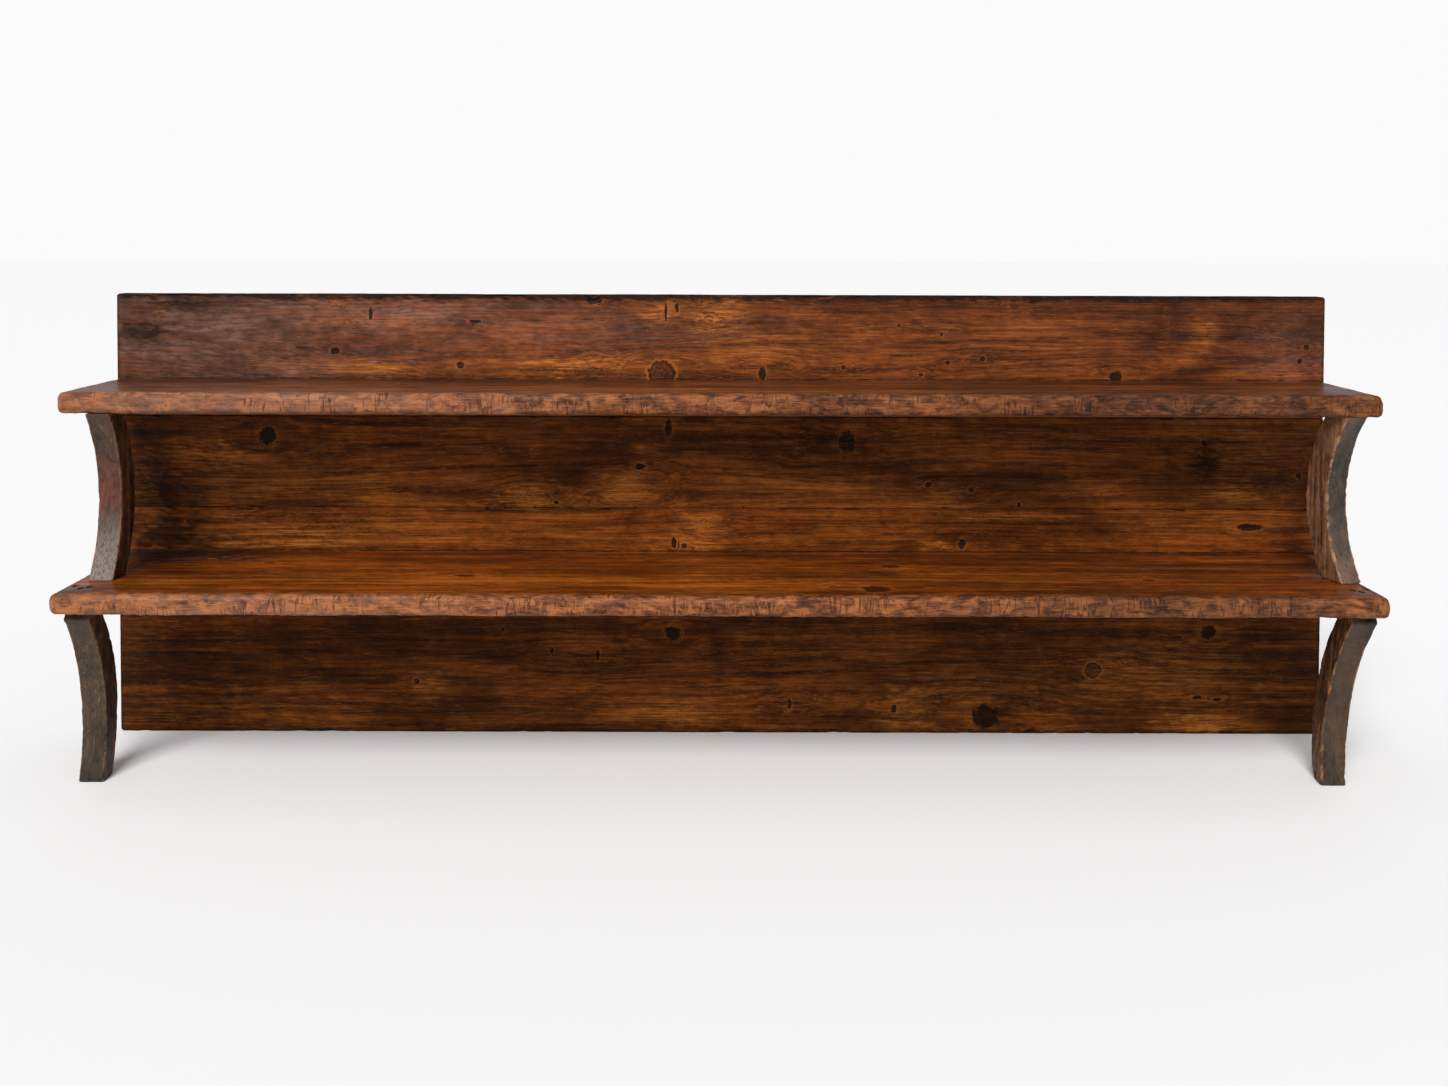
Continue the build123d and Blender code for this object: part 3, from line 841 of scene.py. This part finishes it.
def cloud(vector, scale, detail=3.0, rough=0.55, twist=0.0):
    """Cloudy noise, from 0 to 1. Three numbers for the scale stretch it."""
    if isinstance(scale, tuple):
        vector, scale = place("Mapping", {"Vector": vector, "Scale": scale}), 1.0
    wires = {"Vector": vector, "Scale": scale, "Detail": detail, "Roughness": rough,
             "Distortion": twist}
    return place("TexNoise", wires, "Fac")


def split(vector):
    """The X, Y and Z of a vector."""
    return [Wire(part) for part in place("SeparateXYZ", {0: vector}).socket.node.outputs]


def over(amount, under, upper, mode="MIX"):
    """One colour laid over another."""
    return place("Mix", {0: amount, 6: under, 7: upper}, 2, data_type="RGBA",
                 blend_type=mode, clamp_factor=True)


def layers(colour, *coats):
    """Colours laid one after another over the first; a coat is (amount, colour)."""
    for amount, ink in coats:
        colour = over(amount, colour, ink)
    return colour


def shades(value, stops, tones):
    """A colour ramp, with one tone for each stop."""
    shaded = place("ValToRGB", {0: value})
    ramp = shaded.socket.node.color_ramp
    while len(ramp.elements) < len(stops):
        ramp.elements.new(0.5)
    for element, position, colour in zip(ramp.elements, stops, tones):
        element.position, element.color = position, colour
    return shaded


def painted_on(label, out="Fac"):
    """An attribute that the skin carries."""
    return place("Attribute", {}, out, attribute_name=label)


print("tone of old pine:", [round(v, 3) for v in tone(118, 66, 38)])

# %% [markdown]
# ## Groups and finishes
# Grain, knots, age and saw marks are each wired once, as a group with named inputs and
# outputs, and every finish uses them with its own values. A finish starts from the place on
# the piece and ends in the shader's colour, roughness and bump.

# %% Start a group, use it, start a finish and close it
def new_group(name, inputs, outputs):
    """Puts an empty group on the bench. Inputs have plain defaults, and None marks a vector.
    Returns the group, the wires that enter it and the sockets that leave it."""
    group = bpy.data.node_groups.new(name, "ShaderNodeTree")
    for label, default in inputs.items():
        kind = "NodeSocketVector" if default is None else "NodeSocketFloat"
        socket = group.interface.new_socket(label, in_out="INPUT", socket_type=kind)
        if default is not None:
            socket.default_value = default
    for label in outputs:
        group.interface.new_socket(label, in_out="OUTPUT", socket_type="NodeSocketFloat")
    bench["tree"] = group
    entry = group.nodes.new("NodeGroupInput").outputs
    leave = group.nodes.new("NodeGroupOutput").inputs
    return group, {label: Wire(entry[label]) for label in inputs}, leave


def use(group, **wires):
    """Places a group; underscores in the names stand for spaces."""
    item = bench["tree"].nodes.new("ShaderNodeGroup")
    item.node_tree = group
    for key, value in wires.items():
        put(value, item.inputs[key.replace("_", " ")])
    return {socket.name: Wire(socket) for socket in item.outputs}


def new_finish(name, upright=False):
    """Puts a new material on the bench. Returns it, its shader's inputs and the place on the
    piece, turned a quarter where the grain runs upright."""
    material = bpy.data.materials.new(name)
    material.use_nodes = True
    bench["tree"] = material.node_tree
    spot = place("TexCoord", {}, "Object")
    if upright:
        spot = place("Mapping", {"Vector": spot, "Rotation": (0, math.radians(90), 0)})
    return material, material.node_tree.nodes["Principled BSDF"].inputs, spot


def close_finish(surface, colour, roughness, relief, bump, shine):
    """Feeds the shader. Relief becomes a bump, which is (strength, depth)."""
    put(colour, surface["Base Color"])
    put(roughness, surface["Roughness"])
    raised = place("Bump", {"Strength": bump[0], "Distance": bump[1], "Height": relief})
    put(raised, surface["Normal"])
    put(shine, surface["Specular IOR Level"])


# %% [markdown]
# ## Grain
# Pine is a stack of growth rings, and a board is a flat cut through them. The group below
# measures each point's distance from the tree's middle, which wanders slowly along the
# board, and turns it into rings with a pale spring side and a hard dark autumn line. Four
# stretched clouds add the bands, streaks, fibres and fine hairs that run with the grain. The
# bend that the knots carry shifts all of it, so the grain flows round them.

# %% Grain group
WANDER = 0.11
RING_DRIFT = 2.4
STRETCHED_CLOUDS = (("Bands", (1.3, 26.0, 26.0), 3.0), ("Streaks", (2.2, 70.0, 70.0), 6.0),
                    ("Fibres", (8.0, 300.0, 300.0), 5.0), ("Hairs", (24.0, 460.0, 460.0), 3.0))
grain, entry, leave = new_group(
    "pine grain",
    {"Vector": None, "Bend": 0.0, "Heart Y": 0.3, "Heart Z": 0.9, "Ring Width": 0.006},
    ("Rings", "Bands", "Streaks", "Fibres", "Hairs"))
pushed = place("CombineXYZ", {1: entry["Bend"], 2: entry["Bend"]})
flow = place("VectorMath", {0: entry["Vector"], 1: pushed}, operation="ADD")
wander = (cloud(flow, (1.1, 5.0, 5.0), 2.0) - 0.5) * WANDER
_, flow_y, flow_z = split(flow)
from_y = flow_y + wander - entry["Heart Y"]
from_z = flow_z + wander - entry["Heart Z"]
reach = maths("SQRT", from_y * from_y + from_z * from_z)
uneven = cloud(flow, (1.5, 60.0, 60.0))
phase = maths("FRACT", reach / entry["Ring Width"] + uneven * RING_DRIFT)
autumn = between(phase, 0.35, 0.92) * between(phase, 0.93, 1.0, 1.0, 0.0)
put(autumn, leave["Rings"])
for label, scale, detail in STRETCHED_CLOUDS:
    put(cloud(flow, scale, detail, 0.66, 0.25), leave[label])
print("grain group:", len(grain.nodes), "nodes")

# %% [markdown]
# ## Knots
# The skin tells the group how far each point is from the nearest knot, in knot radii. Inside
# one radius is the hard dark heart with a torn outline. A sound knot stays brown, with a dark
# line and a pale one round it. A burl shows only pale scribbles, where the fibres curl.

# %% Knot group
CURL_WIDTH = 0.035
knots, entry, leave = new_group(
    "pine knots", {"Vector": None, "Knot": None, "Near": 0.0},
    ("Heart", "Sound Heart", "Outline", "Pale Rim", "Curls"))
across, above, darkness = split(entry["Knot"])
flat = place("CombineXYZ", {0: across, 1: above})
true_gap = place("VectorMath", {0: flat}, "Value", operation="LENGTH")
torn = cloud(entry["Vector"], 62.0, 6.0, 0.68) - 0.5
gap = true_gap + torn * 1.5
near = between(entry["Near"], 0.05, 0.6)
real = near * between(darkness, 0.4, 0.6)
heart = between(gap, 0.80, 1.02, 1.0, 0.0) * real
black = between(darkness, 0.78, 0.88)
sound = 1.0 - black
put(heart * black, leave["Heart"])
tight_rings = maths("SINE", (true_gap + torn * 1.7) * 15.0) * 0.26 + 0.70
put(heart * sound * tight_rings, leave["Sound Heart"])
for label, radius, width in (("Outline", 1.0, 0.20), ("Pale Rim", 1.26, 0.14)):
    put(contour(true_gap + torn, radius, width) * real * sound, leave[label])
curl = cloud(entry["Vector"], 95.0, 4.0, 0.6, 2.2)
put(contour(curl, 0.5, CURL_WIDTH) * near * between(gap, 1.0, 1.9, 1.0, 0.0), leave["Curls"])
print("knot group:", len(knots.nodes), "nodes")

# %% [markdown]
# ## Age
# Years of wax, smoke and hands leave soft clouds of darker and lighter tone, tiny pits, thin
# scratches and rubbed edges. One group makes these masks for every wooden finish. Scratches
# and scribbles are contour lines of clouds, which gives thin lines of even width.

# %% Age group
SCRATCH_WIDTH = 0.022
SCRIBBLE_WIDTH = 0.032
age, entry, leave = new_group(
    "old surface", {"Vector": None, "Edge": 0.0, "Rub": 0.5},
    ("Clouds", "Specks", "Scratches", "Rubbed", "Blotches", "Flecks", "Scribbles"))
spot = entry["Vector"]
put(cloud(spot, (3.0, 9.0, 9.0), 4.0, 0.6, 0.5), leave["Clouds"])
put(cloud(spot, (26.0, 48.0, 48.0), 4.0, 0.62, 0.6), leave["Blotches"])
dots = cloud(spot, (130.0, 210.0, 210.0), 2.0, 0.5)
put(between(dots, 0.67, 0.73) * between(cloud(spot, 9.0, 2.0), 0.40, 0.60), leave["Specks"])
put(between(dots, 0.33, 0.27), leave["Flecks"])
thin = cloud(spot, (13.0, 240.0, 240.0), 1.0, 0.4, 1.6)
here_and_there = between(cloud(spot, 14.0, 2.0), 0.52, 0.64)
put(contour(thin, 0.5, SCRATCH_WIDTH) * here_and_there, leave["Scratches"])
curl = cloud(spot, (55.0, 130.0, 130.0), 5.0, 0.62, 1.4)
put(contour(curl, 0.5, SCRIBBLE_WIDTH), leave["Scribbles"])
patchy = cloud(spot, 60.0, 4.0, 0.65)
limit = 1.0 - entry["Rub"]
put(between(entry["Edge"] * (patchy + 0.35), limit, limit + 0.25), leave["Rubbed"])
print("age group:", len(age.nodes), "nodes")

# %% [markdown]
# ## Saw marks
# A saw leaves short cuts across its path, gently curved, in patches. They too are contour
# lines of a stretched cloud: a dark line where the cloud passes one height and a pale lip
# where it passes a slightly greater one.

# %% Saw-mark group
saw, entry, leave = new_group("saw marks", {"Vector": None, "Spacing": 150.0, "Cover": 0.5},
                              ("Marks", "Cuts", "Lips"))
ruler = place("CombineXYZ", {0: entry["Spacing"], 1: 12.0, 2: 12.0})
stretched = place("VectorMath", {0: entry["Vector"], 1: ruler}, operation="MULTIPLY")
marks = cloud(stretched, 1.0, 1.6, 0.5, 0.4)
limit = 1.0 - entry["Cover"]
zone = cloud(entry["Vector"], (13.0, 24.0, 24.0), 2.0)
zone = between(zone, limit - 0.06, limit + 0.05)
put(marks * zone, leave["Marks"])
for label, height, width in (("Cuts", 0.50, 0.045), ("Lips", 0.575, 0.04)):
    put(contour(marks, height, width) * zone, leave[label])
print("saw group:", len(saw.nodes), "nodes")

# %% [markdown]
# ## The pine finish
# Boards, seat and ledge are the same pine under the same dark varnish, but each was used
# differently: the seat is polished by sitting and the top board faded by light. The bottom
# board's darker tones are painted shade, for the seat's shadow over it. One recipe builds
# them all from its own set of tones.

# %% Pine finish recipe
# The first tone darkens soot and stains and also the painted shade in corners and creases.
SOOT_AND_SHADE_TONE = tone(22, 14, 10)
HEART_TONE = tone(22, 13, 9)
# The next two tones are painted sheen, standing in for reflection on the varnish: on flat wood and
# on the nosing.
PAINTED_SHEEN_TONE = tone(142, 104, 90)
NOSE_PAINTED_SHEEN_TONE = tone(178, 132, 108)
COAT_ROUGHNESS = 0.22
PINE_RUB = 0.42
PINE_STOPS = (0.38, 0.50, 0.635)
LEVEL_SPAN = (0.34, 0.66)
CLOUD_LEVELS = (0.54, 1.32)
BLOTCH_LEVELS = (0.76, 1.18)
NOSE_STOPS = (0.38, 0.47, 0.58)
NOSE_SAW = {"Spacing": 72.0, "Cover": 0.47}
PINE_BUMP = (0.55, 0.9 * MM)


def pine_finish(name, tones, heart_place, ring_width, gloss, coat, shine, banding,
                nosing=None):
    """Varnished old pine. Tones run from the deep streaks through middle and pale ones to
    amber, the bare wood of worn patches. Heart_place is the tree's middle (y, z), gloss the
    roughness of (varnished, open) wood and banding how far the broad bands darken and
    lighten. Nosing gives the three tones of a worn front edge."""
    deep, middle, pale, amber = (tone(*levels) for levels in tones)
    material, surface, spot = new_finish(name)
    lie = use(grain, Vector=spot, Bend=painted_on("bend"), Heart_Y=heart_place[0],
              Heart_Z=heart_place[1], Ring_Width=ring_width)
    branch = use(knots, Vector=spot, Knot=painted_on("knot", "Vector"),
                 Near=painted_on("knot_near"))
    years = use(age, Vector=spot, Edge=painted_on("edge"), Rub=PINE_RUB)
    fibres, hairs, streaks = lie["Fibres"], lie["Hairs"], lie["Streaks"]

    # The body of the wood, under its painted sheen and its light and dark clouds
    mix = streaks * 0.62 + fibres * 0.26 + hairs * 0.12
    colour = shades(mix, PINE_STOPS, (deep, middle, pale))
    # Painted sheen: a pale greyish tone laid over the wood, strongest where the streaks are dark.
    painted_sheen_veil = held(painted_on("painted_sheen") * between(streaks, 0.38, 0.60, 1.1, 0.5))
    colour = over(painted_sheen_veil, colour, PAINTED_SHEEN_TONE)
    for mask, levels in ((years["Clouds"], CLOUD_LEVELS), (years["Blotches"], BLOTCH_LEVELS),
                         (lie["Bands"], banding)):
        level = between(mask, *LEVEL_SPAN, *levels)
        grey = place("CombineColor", {0: level, 1: level, 2: level})
        colour = over(1.0, colour, grey, "MULTIPLY")

    # Worn amber patches, ring lines, then the fine pale and dark grain
    patches = painted_on("amber")
    worn = patches * between(streaks, 0.38, 0.58, 0.20, 1.25)
    worn = held(worn * between(fibres, 0.57, 0.43, 0.15, 1.15))
    open_grain = between(years["Clouds"], 0.38, 0.62, 0.25, 1.0)
    closed_grain = between(years["Blotches"], 0.40, 0.60, 1.0, 0.30)
    scribble = held(patches * years["Scribbles"] * 0.70 + branch["Curls"] * 0.70)
    colour = layers(
        colour, (worn, amber), (lie["Rings"] * 0.34, deep),
        (between(fibres, 0.44, 0.36, 0.0, 0.36) * open_grain, amber),
        (between(hairs, 0.42, 0.32, 0.0, 0.42) * open_grain, amber),
        (between(fibres, 0.56, 0.64, 0.0, 0.58) * closed_grain, HEART_TONE),
        (between(hairs, 0.57, 0.67, 0.0, 0.50) * closed_grain, HEART_TONE), (scribble, amber))

    # The nosing: mottled bare wood with saw cuts across it, and painted sheen over it
    if nosing:
        nose = painted_on("nosing")
        rolls = dark_roll, _, pale_roll = [tone(*levels) for levels in nosing]
        sawn = use(saw, Vector=spot, **NOSE_SAW)
        roll = shades(years["Blotches"] * 0.65 + hairs * 0.35, NOSE_STOPS, rolls)
        roll = layers(
            roll, (between(fibres, 0.56, 0.67, 0.0, 0.40), dark_roll),
            (between(fibres, 0.44, 0.35, 0.0, 0.40), pale_roll),
            (painted_sheen_veil * 0.75, NOSE_PAINTED_SHEEN_TONE), (sawn["Lips"] * 0.62, pale_roll),
            (sawn["Cuts"] * 0.75, dark_roll))
        colour = over(nose, colour, roll)

    # Soot, stains and painted shade, then knots and knocks on top of everything
    stain_and_shade = held(painted_on("soot_and_shade") * between(years["Clouds"], 0.30, 0.60, 0.8, 1.25))
    char = over(between(years["Blotches"], 0.48, 0.66), HEART_TONE, deep)
    colour = layers(
        colour, (stain_and_shade * 0.86, SOOT_AND_SHADE_TONE), (branch["Pale Rim"] * 0.40, amber),
        (branch["Sound Heart"] * 0.85, deep), (branch["Outline"] * 0.85, HEART_TONE),
        (branch["Heart"] * 0.93, char), (years["Rubbed"] * 0.45 * (1.0 - stain_and_shade), amber),
        (years["Specks"] * 0.75, HEART_TONE), (years["Scratches"] * 0.36, amber),
        (years["Flecks"] * 0.15, amber))

    # Gloss and relief
    dull = held(between(fibres, 0.36, 0.64, *gloss) + stain_and_shade * 0.30)
    relief = (streaks * 0.5 - fibres * 0.45 - hairs * 0.20 + lie["Rings"] * 0.22
              - branch["Heart"] * 0.9 - years["Specks"] * 0.8)
    put(coat, surface["Coat Weight"])
    if nosing:
        dull = held(dull + nose * 0.26)
        put(held(1.0 - maths("MAXIMUM", nose, stain_and_shade)) * coat, surface["Coat Weight"])
        relief = relief + (sawn["Marks"] * 0.9 - sawn["Cuts"] * 0.55) * nose
    put(COAT_ROUGHNESS, surface["Coat Roughness"])
    close_finish(surface, colour, dull, relief, PINE_BUMP, shine)
    return material


# %% The six pines
pine = {}
for part, recipe in {
    "top board": (((47, 19, 6), (103, 49, 18), (144, 74, 29), (196, 114, 49)),
                  (0.24, 0.93), 0.0062, (0.42, 0.62), 0.0, 0.12, (0.90, 1.08)),
    "upper middle board": (((38, 18, 5), (98, 49, 13), (142, 77, 24), (184, 112, 46)),
                           (0.26, 0.64), 0.0066, (0.42, 0.62), 0.0, 0.06, (0.88, 1.10)),
    "lower middle board": (((50, 23, 6), (112, 54, 14), (152, 80, 25), (190, 112, 45)),
                           (0.23, 0.40), 0.0060, (0.42, 0.62), 0.0, 0.06, (0.86, 1.12)),
    # The bottom board's tones are darker than the others' as painted shade, for the seat's shadow
    # over it.
    "bottom board": (((34, 16, 5), (84, 42, 11), (126, 66, 18), (168, 102, 40)),
                     (0.25, 0.12), 0.0070, (0.50, 0.70), 0.0, 0.05, (0.84, 1.13)),
    "seat": (((46, 18, 2), (116, 52, 7), (166, 84, 14), (200, 112, 34)),
             (-0.02, 0.30), 0.0075, (0.26, 0.44), 0.26, 0.22, (0.55, 1.40),
             ((50, 26, 13), (109, 59, 29), (163, 98, 53))),
    "ledge": (((40, 19, 7), (96, 47, 17), (138, 73, 28), (180, 106, 46)),
              (0.02, 0.70), 0.0070, (0.30, 0.46), 0.22, 0.22, (0.55, 1.40),
              ((46, 25, 12), (104, 56, 28), (157, 93, 50))),
}.items():
    pine[part] = pine_finish("pine of the " + part, *recipe)
print("pine finishes:", list(pine))

# %% [markdown]
# ## Worn paint on the legs and brackets
# The legs and brackets were painted a grey-brown long ago. On their front faces most of the
# paint is left, scratched and thin; on the sides it has gone to brown stain, and every
# arris is rubbed to bare orange wood. The foot of a bracket's front face, which curves up
# toward the light, carries a painted sheen in pale grey. Their grain runs upright, so the
# pattern is turned a quarter before it is read.

# %% Painted finish
# The first tone is the painted sheen of the lower front faces.
PAINTED_SHEEN_GREY = tone(150, 136, 126)
SCRATCH_TONE = tone(150, 122, 96)
FLECK_TONE = tone(150, 124, 98)
DRY_SHINE = 0.25
PAINT_RUB = 0.27
STAIN_STOPS = (0.42, 0.52, 0.62)
PAINT_STOPS = (0.38, 0.50, 0.62)
PAINT_BUMP = (0.6, 0.8 * MM)
PAINT_GRAIN = {"Heart_Y": 0.05, "Heart_Z": 1.2, "Ring_Width": 0.006}
PAINT_ROUGHNESS = (0.36, 0.60)


def painted_finish(name, paint, stained, sheen_low, warm=None):
    """Paint over stained pine: paint stays where the front face mask and a ragged cloud
    agree, stain shows elsewhere, and rubbed arrises go to bare wood. Paint and stained are
    three tones each, from dark to pale. Sheen_low is the strength of a painted sheen in pale
    grey on the foot of the front face, for the light it catches where it curves up, and warm
    the tone of a thin place half-way up it."""
    paint = [tone(*levels) for levels in paint]
    stained = _, side_pale, bare = [tone(*levels) for levels in stained]
    material, surface, spot = new_finish(name, upright=True)
    lie = use(grain, Vector=spot, **PAINT_GRAIN)
    years = use(age, Vector=spot, Edge=painted_on("edge"), Rub=PAINT_RUB)
    fibres, clouds, blotches = lie["Fibres"], years["Clouds"], years["Blotches"]
    wood = shades(lie["Streaks"] * 0.40 + fibres * 0.32 + blotches * 0.28, STAIN_STOPS,
                  stained)
    face = painted_on("face")
    left = between(face * 0.55 + 0.18 - (blotches * 0.7 + fibres * 0.3), -0.10, 0.02)
    tinted = shades(clouds * 0.35 + blotches * 0.35 + fibres * 0.30, PAINT_STOPS, paint)
    tinted = over(between(clouds, 0.50, 0.62, 0.0, 0.45), tinted, side_pale)
    colour = over(left, wood, tinted)
    rise = painted_on("height")
    if warm:
        band = between(rise, 0.30, 0.45) * between(rise, 0.62, 0.80, 1.0, 0.0)
        band = band * between(blotches, 0.36, 0.60, 0.2, 0.9)
        colour = over(band * face, colour, tone(*warm))
    # Painted sheen: the lower front face goes toward pale grey in upright streaks, for the light
    # that it catches from above.
    low = between(rise, 0.12, 0.48, sheen_low, 0.0) * between(fibres, 0.42, 0.60, 1.15, 0.45)
    colour = layers(
        colour, (low * face, PAINTED_SHEEN_GREY), (years["Rubbed"] * 0.80, bare),
        (between(fibres, 0.56, 0.66, 0.0, 0.60), HEART_TONE),
        (between(lie["Hairs"], 0.42, 0.33, 0.0, 0.40), side_pale),
        (years["Specks"] * 0.6, HEART_TONE), (years["Scratches"] * 0.45, SCRATCH_TONE),
        (years["Flecks"] * 0.25, FLECK_TONE))
    relief = left * 0.35 + lie["Streaks"] * 0.5 - fibres * 0.35 - years["Scratches"] * 0.5
    roughness = between(blotches, 0.3, 0.7, *PAINT_ROUGHNESS)
    close_finish(surface, colour, roughness, relief, PAINT_BUMP, DRY_SHINE)
    return material


paint = {}
for part, recipe in {
    "left leg": (((24, 19, 14), (60, 48, 36), (102, 82, 62)),
                 ((26, 18, 12), (62, 43, 28), (118, 80, 50)), 0.0),
    # The right leg's paint tones are darker than the left leg's as painted shade, a shaded copy of
    # the same paint.
    "right leg": (((25, 20, 14), (53, 43, 32), (84, 70, 54)),
                  ((36, 22, 12), (80, 52, 31), (150, 98, 56)), 0.0),
    "left bracket": (((30, 22, 17), (68, 51, 40), (106, 80, 62)),
                     ((34, 21, 12), (78, 50, 31), (136, 88, 56)), 0.52, (104, 58, 44)),
    # The right bracket's stain tones are paler than the left's partly as painted light: a lit copy
    # of the same stain, for its inner side that turns toward the light.
    "right bracket": (((28, 24, 20), (60, 51, 43), (98, 84, 71)),
                      ((60, 38, 26), (130, 90, 64), (178, 126, 90)), 0.1),
}.items():
    paint[part] = painted_finish("worn paint of the " + part, *recipe)
print("painted finishes:", list(paint))

# %% [markdown]
# ## Rough-sawn pine
# The ledgers and battens were never varnished. The wood has gone a dry grey-brown, with the
# saw's marks across it and dust in every hollow.

# %% Rough pine finish
ROUGH_TONES = tone(62, 38, 24), tone(104, 70, 45), tone(142, 104, 70)
ROUGH_STOPS = (0.40, 0.50, 0.60)
ROUGH_GRAIN = {"Heart_Y": 0.30, "Heart_Z": 0.35, "Ring_Width": 0.0055}
ROUGH_SAW = {"Spacing": 150.0, "Cover": 0.50}
ROUGH_RUB = 0.45
ROUGH_BUMP = (0.7, 0.9 * MM)
ROUGH_ROUGHNESS = (0.72, 0.92)


def rough_finish(name, upright):
    """Bare sawn pine gone brown: grain along the stick and saw marks across it."""
    material, surface, spot = new_finish(name, upright)
    lie = use(grain, Vector=spot, **ROUGH_GRAIN)
    years = use(age, Vector=spot, Edge=painted_on("edge"), Rub=ROUGH_RUB)
    sawn = use(saw, Vector=spot, **ROUGH_SAW)
    streaks, fibres = lie["Streaks"], lie["Fibres"]
    colour = shades(streaks * 0.6 + fibres * 0.4, ROUGH_STOPS, ROUGH_TONES)
    colour = layers(
        colour, (lie["Rings"] * 0.40, tone(60, 35, 21)),
        (between(fibres, 0.56, 0.66, 0.0, 0.55), HEART_TONE),
        (sawn["Lips"] * 0.25, tone(150, 114, 80)), (sawn["Cuts"] * 0.35, tone(48, 30, 20)),
        (between(years["Clouds"], 0.48, 0.66, 0.0, 0.5), tone(58, 38, 26)),
        (years["Rubbed"] * 0.5, tone(150, 110, 74)))
    relief = sawn["Marks"] * 0.5 + streaks * 0.6 - fibres * 0.6 - sawn["Cuts"] * 0.4
    roughness = between(years["Blotches"], 0.3, 0.7, *ROUGH_ROUGHNESS)
    close_finish(surface, colour, roughness, relief, ROUGH_BUMP, DRY_SHINE)
    return material


ledger_pine = rough_finish("rough pine of the ledgers", upright=False)
batten_pine = rough_finish("rough pine of the battens", upright=True)

# %% [markdown]
# ## Forged nails
# The nails are square and hand-made. Their heads are black iron with brown rust, rubbed a
# little bright on the high points.

# %% Iron finish
IRON_BUMP = (0.6, 0.5 * MM)
IRON_SHINE = 0.5
iron, surface, spot = new_finish("forged iron")
crust = cloud(spot, 260.0, 4.0, 0.65)
fine = cloud(spot, 900.0, 3.0, 0.6)
black_iron = shades(fine, (0.3, 0.6, 0.8), (tone(22, 18, 16), tone(40, 34, 30),
                                            tone(64, 57, 52)))
rust = shades(fine, (0.3, 0.7), (tone(44, 23, 13), tone(84, 45, 25)))
colour = over(between(crust, 0.42, 0.62) * 0.8, black_iron, rust)
put(between(crust, 0.35, 0.6, 0.7, 0.15), surface["Metallic"])
roughness = between(crust, 0.35, 0.65, 0.45, 0.85)
close_finish(surface, colour, roughness, crust + fine * 0.5, IRON_BUMP, IRON_SHINE)

# %% [markdown]
# ## Put every piece in its place
# Each new skin rides on the pew's one body, takes the place of its measured piece, which is
# hidden, and carries its finish. The nails keep their measured shape and only get their iron.

# %% Ride, replace and finish
finishes = [
    (boards["back_board_top"], "back_board_top", "back_pine", pine["top board"]),
    (boards["back_board_upper_middle"], "back_board_upper_middle", "back_pine",
     pine["upper middle board"]),
    (boards["back_board_lower_middle"], "back_board_lower_middle", "back_pine",
     pine["lower middle board"]),
    (boards["back_board_bottom"], "back_board_bottom", "back_pine", pine["bottom board"]),
    (seat, "seat_plank", "seat_pine", pine["seat"]),
    (ledge, "ledge_plank", "ledge_pine", pine["ledge"]),
]
finishes += [(legs[side], f"{side}_front_leg", "painted_pine", paint[f"{side} leg"])
             for side in legs]
finishes += [(brackets[side], f"{side}_ledge_bracket", "painted_pine", paint[f"{side} bracket"])
             for side in brackets]
finishes += [(stick, node, "plain_pine", ledger_pine if "ledger" in node else batten_pine)
             for node, stick in sticks.items()]
for piece, node, slot, material in finishes:
    piece.data.materials.append(material)
    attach(piece, "root")
    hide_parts(node)
for name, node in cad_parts.items():
    if name.endswith("_nails"):
        for index in range(len(node.material_slots)):
            node.material_slots[index].material = iron
print("skins placed:", len(finishes))

# %% [markdown]
# ## Floor and light
# The studio is plain: a pale floor that runs to the horizon, one broad soft light high in
# front and a little to the left, and a pale sky all round. The light is a sun with a very
# wide disc, which falls evenly over the whole length of the pew.

# %% Floor
FLOOR_REACH = 60.0
corners = [(x * FLOOR_REACH, y * FLOOR_REACH, 0) for x, y in ((-1, -1), (1, -1), (1, 1), (-1, 1))]
floor_mesh = bpy.data.meshes.new("floor")
floor_mesh.from_pydata(corners, [], [(0, 1, 2, 3)])
floor = bpy.data.objects.new("floor", floor_mesh)
bpy.context.scene.collection.objects.link(floor)
floor_paint = bpy.data.materials.new("pale floor")
floor_paint.use_nodes = True
surface = floor_paint.node_tree.nodes["Principled BSDF"].inputs
put((0.9, 0.9, 0.9, 1), surface["Base Color"])
put(0.9, surface["Roughness"])
floor_mesh.materials.append(floor_paint)

# %% Light
SUN_STRENGTH = 2.9
SUN_DISC = 30
SUN_TURN = (46, 0, -14)
SKY_GLOW = 0.44
SKY_SEEN = 0.96
bpy.context.scene.view_settings.view_transform = "Standard"
sun_data = bpy.data.lights.new("broad soft light", "SUN")
sun_data.energy = SUN_STRENGTH
sun_data.angle = math.radians(SUN_DISC)
sun = bpy.data.objects.new("broad soft light", sun_data)
sun.rotation_euler = [math.radians(turn) for turn in SUN_TURN]
bpy.context.scene.collection.objects.link(sun)
world = bpy.data.worlds.new("pale studio")
world.use_nodes = True
bpy.context.scene.world = world
bench["tree"] = world.node_tree
sky = world.node_tree.nodes["Background"]
put((1.0, 1.0, 1.0, 1), sky.inputs["Color"])
put(SKY_GLOW, sky.inputs["Strength"])
seen = place("Background", {"Color": (1, 1, 1, 1), "Strength": SKY_SEEN})
direct = place("LightPath", {}, "Is Camera Ray")
put(place("MixShader", {0: direct, 1: Wire(sky.outputs[0]), 2: seen}),
    world.node_tree.nodes["World Output"].inputs["Surface"])
